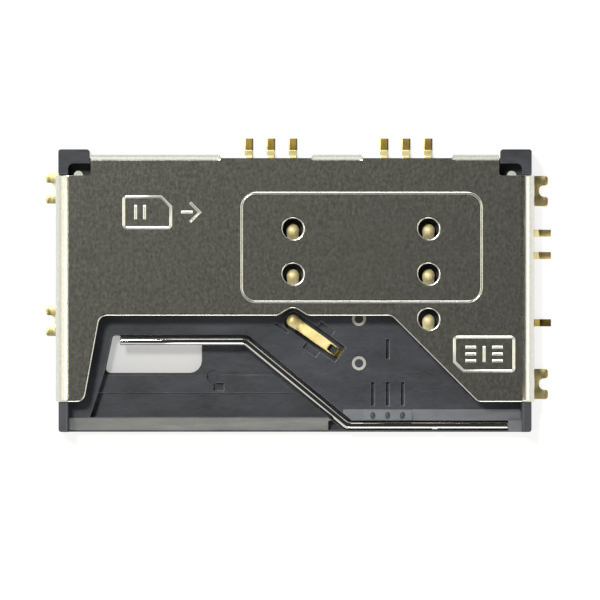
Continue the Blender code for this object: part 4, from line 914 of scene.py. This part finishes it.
makeWire()
print("wire bent")


# Table, light and camera

stageSet = {
    "table": 3.0, "tableGap": 0.02, "glow": 0.79, "tableColour": "#9c9c9c",
    "underSize": (13, 7), "underShift": 0.02, "underFrom": 0.98, "underShade": 0.45, "underShadeColour": "#9b9da0",
    "cameraHeight": 0.6, "viewWidth": 33.7, "viewCentre": (0.281, -0.478), "sensor": 36.0,
    "capAcross": 0.74, "capAlong": 0.96, "capAside": 0.1, "capFrom": 0.8, "capDark": 0.04,
    "roomLight": 0.94, "fillShare": 0.33,
    "lamps": (  # name, place in metres, width of the square, light that it adds on a level surface, colour
        ("key_lamp", (-0.15, 0.19, 0.40), 0.09, 0.6, "#fffdf6"),
        ("beam_lamp", (0.20, -0.15, 0.30), 0.16, 0.09, "#fff4dc"),
        ("dome_lamp", (-0.26, -0.05, 0.40), 0.12, 0.07, "#fff4dc"),
        ("left_softbox", (-0.24, 0.02, 0.15), 0.16, 0.03, "#ffe9b0"),
        ("right_softbox", (0.42, -0.05, 0.22), 0.28, 0.04, "#fffcf4"),
        ("front_softbox", (0.02, -0.42, 0.22), 0.2, 0.12, "#ffffff"),
        ("rear_softbox", (-0.02, 0.33, 0.26), 0.1, 0.016, "#ffffff"),
    ),
}


def seenRays(tree):  # is this a ray that shows a thing, straight or mirrored, and is it the straight one
    path = addNode(tree, "ShaderNodeLightPath").outputs
    seen = calc(tree, "MAXIMUM", path["Is Camera Ray"], path["Is Glossy Ray"])
    return calc(tree, "MAXIMUM", seen, path["Is Transmission Ray"]), path["Is Camera Ray"]


def paleTable():
    s = stageSet
    bm = bmesh.new()
    bmesh.ops.create_grid(bm, x_segments=1, y_segments=1, size=s["table"] / 2)
    mesh = bpy.data.meshes.new("pale_table")
    bm.to_mesh(mesh)
    bm.free()
    table = bpy.data.objects.new("pale_table", mesh)
    table.location.z = partBox[0][2] - s["tableGap"] * metresPerMm
    scene.collection.objects.link(table)
    # Pale matt card that shows white where it is seen, with painted shade: a greyer, dimmer patch under the
    # socket
    material = bpy.data.materials.new("paleTableCard")
    material.use_nodes = True
    tree = material.node_tree
    tree.nodes.clear()
    place = addNode(tree, "ShaderNodeTexCoord").outputs["Object"]
    across = addNode(tree, "ShaderNodeMapping", {
        "Vector": place, "Location": (0, s["underShift"], 0),
        "Scale": [1 / (side * metresPerMm) for side in (*s["underSize"], 1)]})
    sides = addNode(tree, "ShaderNodeSeparateXYZ", {0: across.outputs[0]}).outputs
    far = calc(tree, "MAXIMUM", calc(tree, "ABSOLUTE", sides[0]), calc(tree, "ABSOLUTE", sides[1]))
    # painted shade: under the socket the card is greyer and glows less
    paintedUnderShade = between(tree, far, s["underShade"], 1.0, s["underFrom"], 1.0)
    glow = calc(tree, "MULTIPLY", calc(tree, "MULTIPLY", seenRays(tree)[0], s["glow"]), paintedUnderShade)
    colour = blendInk(tree, paintedUnderShade, s["underShadeColour"], s["tableColour"])
    card = addNode(tree, "ShaderNodeBsdfDiffuse", {"Color": colour})
    light = addNode(tree, "ShaderNodeEmission", {"Strength": glow})
    both = addNode(tree, "ShaderNodeAddShader", {0: card.outputs[0], 1: light.outputs[0]})
    addNode(tree, "ShaderNodeOutputMaterial", {"Surface": both.outputs[0]})
    mesh.materials.append(material)


def softRoom():  # white all round, and dark straight overhead where the camera stands
    s = stageSet
    world = bpy.data.worlds.new("soft_room")
    scene.world = world
    world.use_nodes = True
    tree = world.node_tree
    tree.nodes.clear()
    towards = addNode(tree, "ShaderNodeTexCoord").outputs["Generated"]
    across = addNode(tree, "ShaderNodeMapping", {
        "Vector": towards, "Scale": (1 / s["capAcross"], 1 / s["capAlong"], 0),
        "Location": (-s["capAside"] / s["capAcross"], 0, 0)})
    fromTop = addNode(tree, "ShaderNodeVectorMath", {0: across.outputs[0]}, operation="LENGTH")
    light = between(tree, fromTop.outputs["Value"], s["capDark"], s["roomLight"], s["capFrom"], 1.0)
    seen, straight = seenRays(tree)
    spread = between(tree, seen, s["fillShare"], 1.0, 0, 1)
    strength = calc(tree, "MAXIMUM", calc(tree, "MULTIPLY", light, spread), straight)
    room = addNode(tree, "ShaderNodeBackground", {"Color": linear("#ffffff"), "Strength": strength})
    addNode(tree, "ShaderNodeOutputWorld", {"Surface": room.outputs[0]})


def softLamps():
    for name, place, size, light, colour in stageSet["lamps"]:
        away = Vector(place)
        data = bpy.data.lights.new(name, "AREA")
        data.shape = "SQUARE"
        data.size = size
        data.energy = light * math.pi ** 2 * away.length_squared / away.normalized().z
        data.color = linear(colour)[:3]
        lamp = bpy.data.objects.new(name, data)
        lamp.location = away
        lamp.rotation_euler = away.to_track_quat("Z", "Y").to_euler()
        scene.collection.objects.link(lamp)


def cameraAbove():
    s = stageSet
    data = bpy.data.cameras.new("above")
    data.type = "PERSP"
    data.sensor_width = s["sensor"]
    data.lens = s["sensor"] * s["cameraHeight"] / (s["viewWidth"] * metresPerMm)
    data.clip_start = 0.01
    camera = bpy.data.objects.new("above", data)
    x, y = (value * metresPerMm for value in s["viewCentre"])
    camera.location = (x, y, partBox[1][2] + s["cameraHeight"])
    scene.collection.objects.link(camera)
    scene.camera = camera


paleTable()
softRoom()
softLamps()
cameraAbove()
scene.view_settings.view_transform = "Standard"
print("table, lamps and camera set")
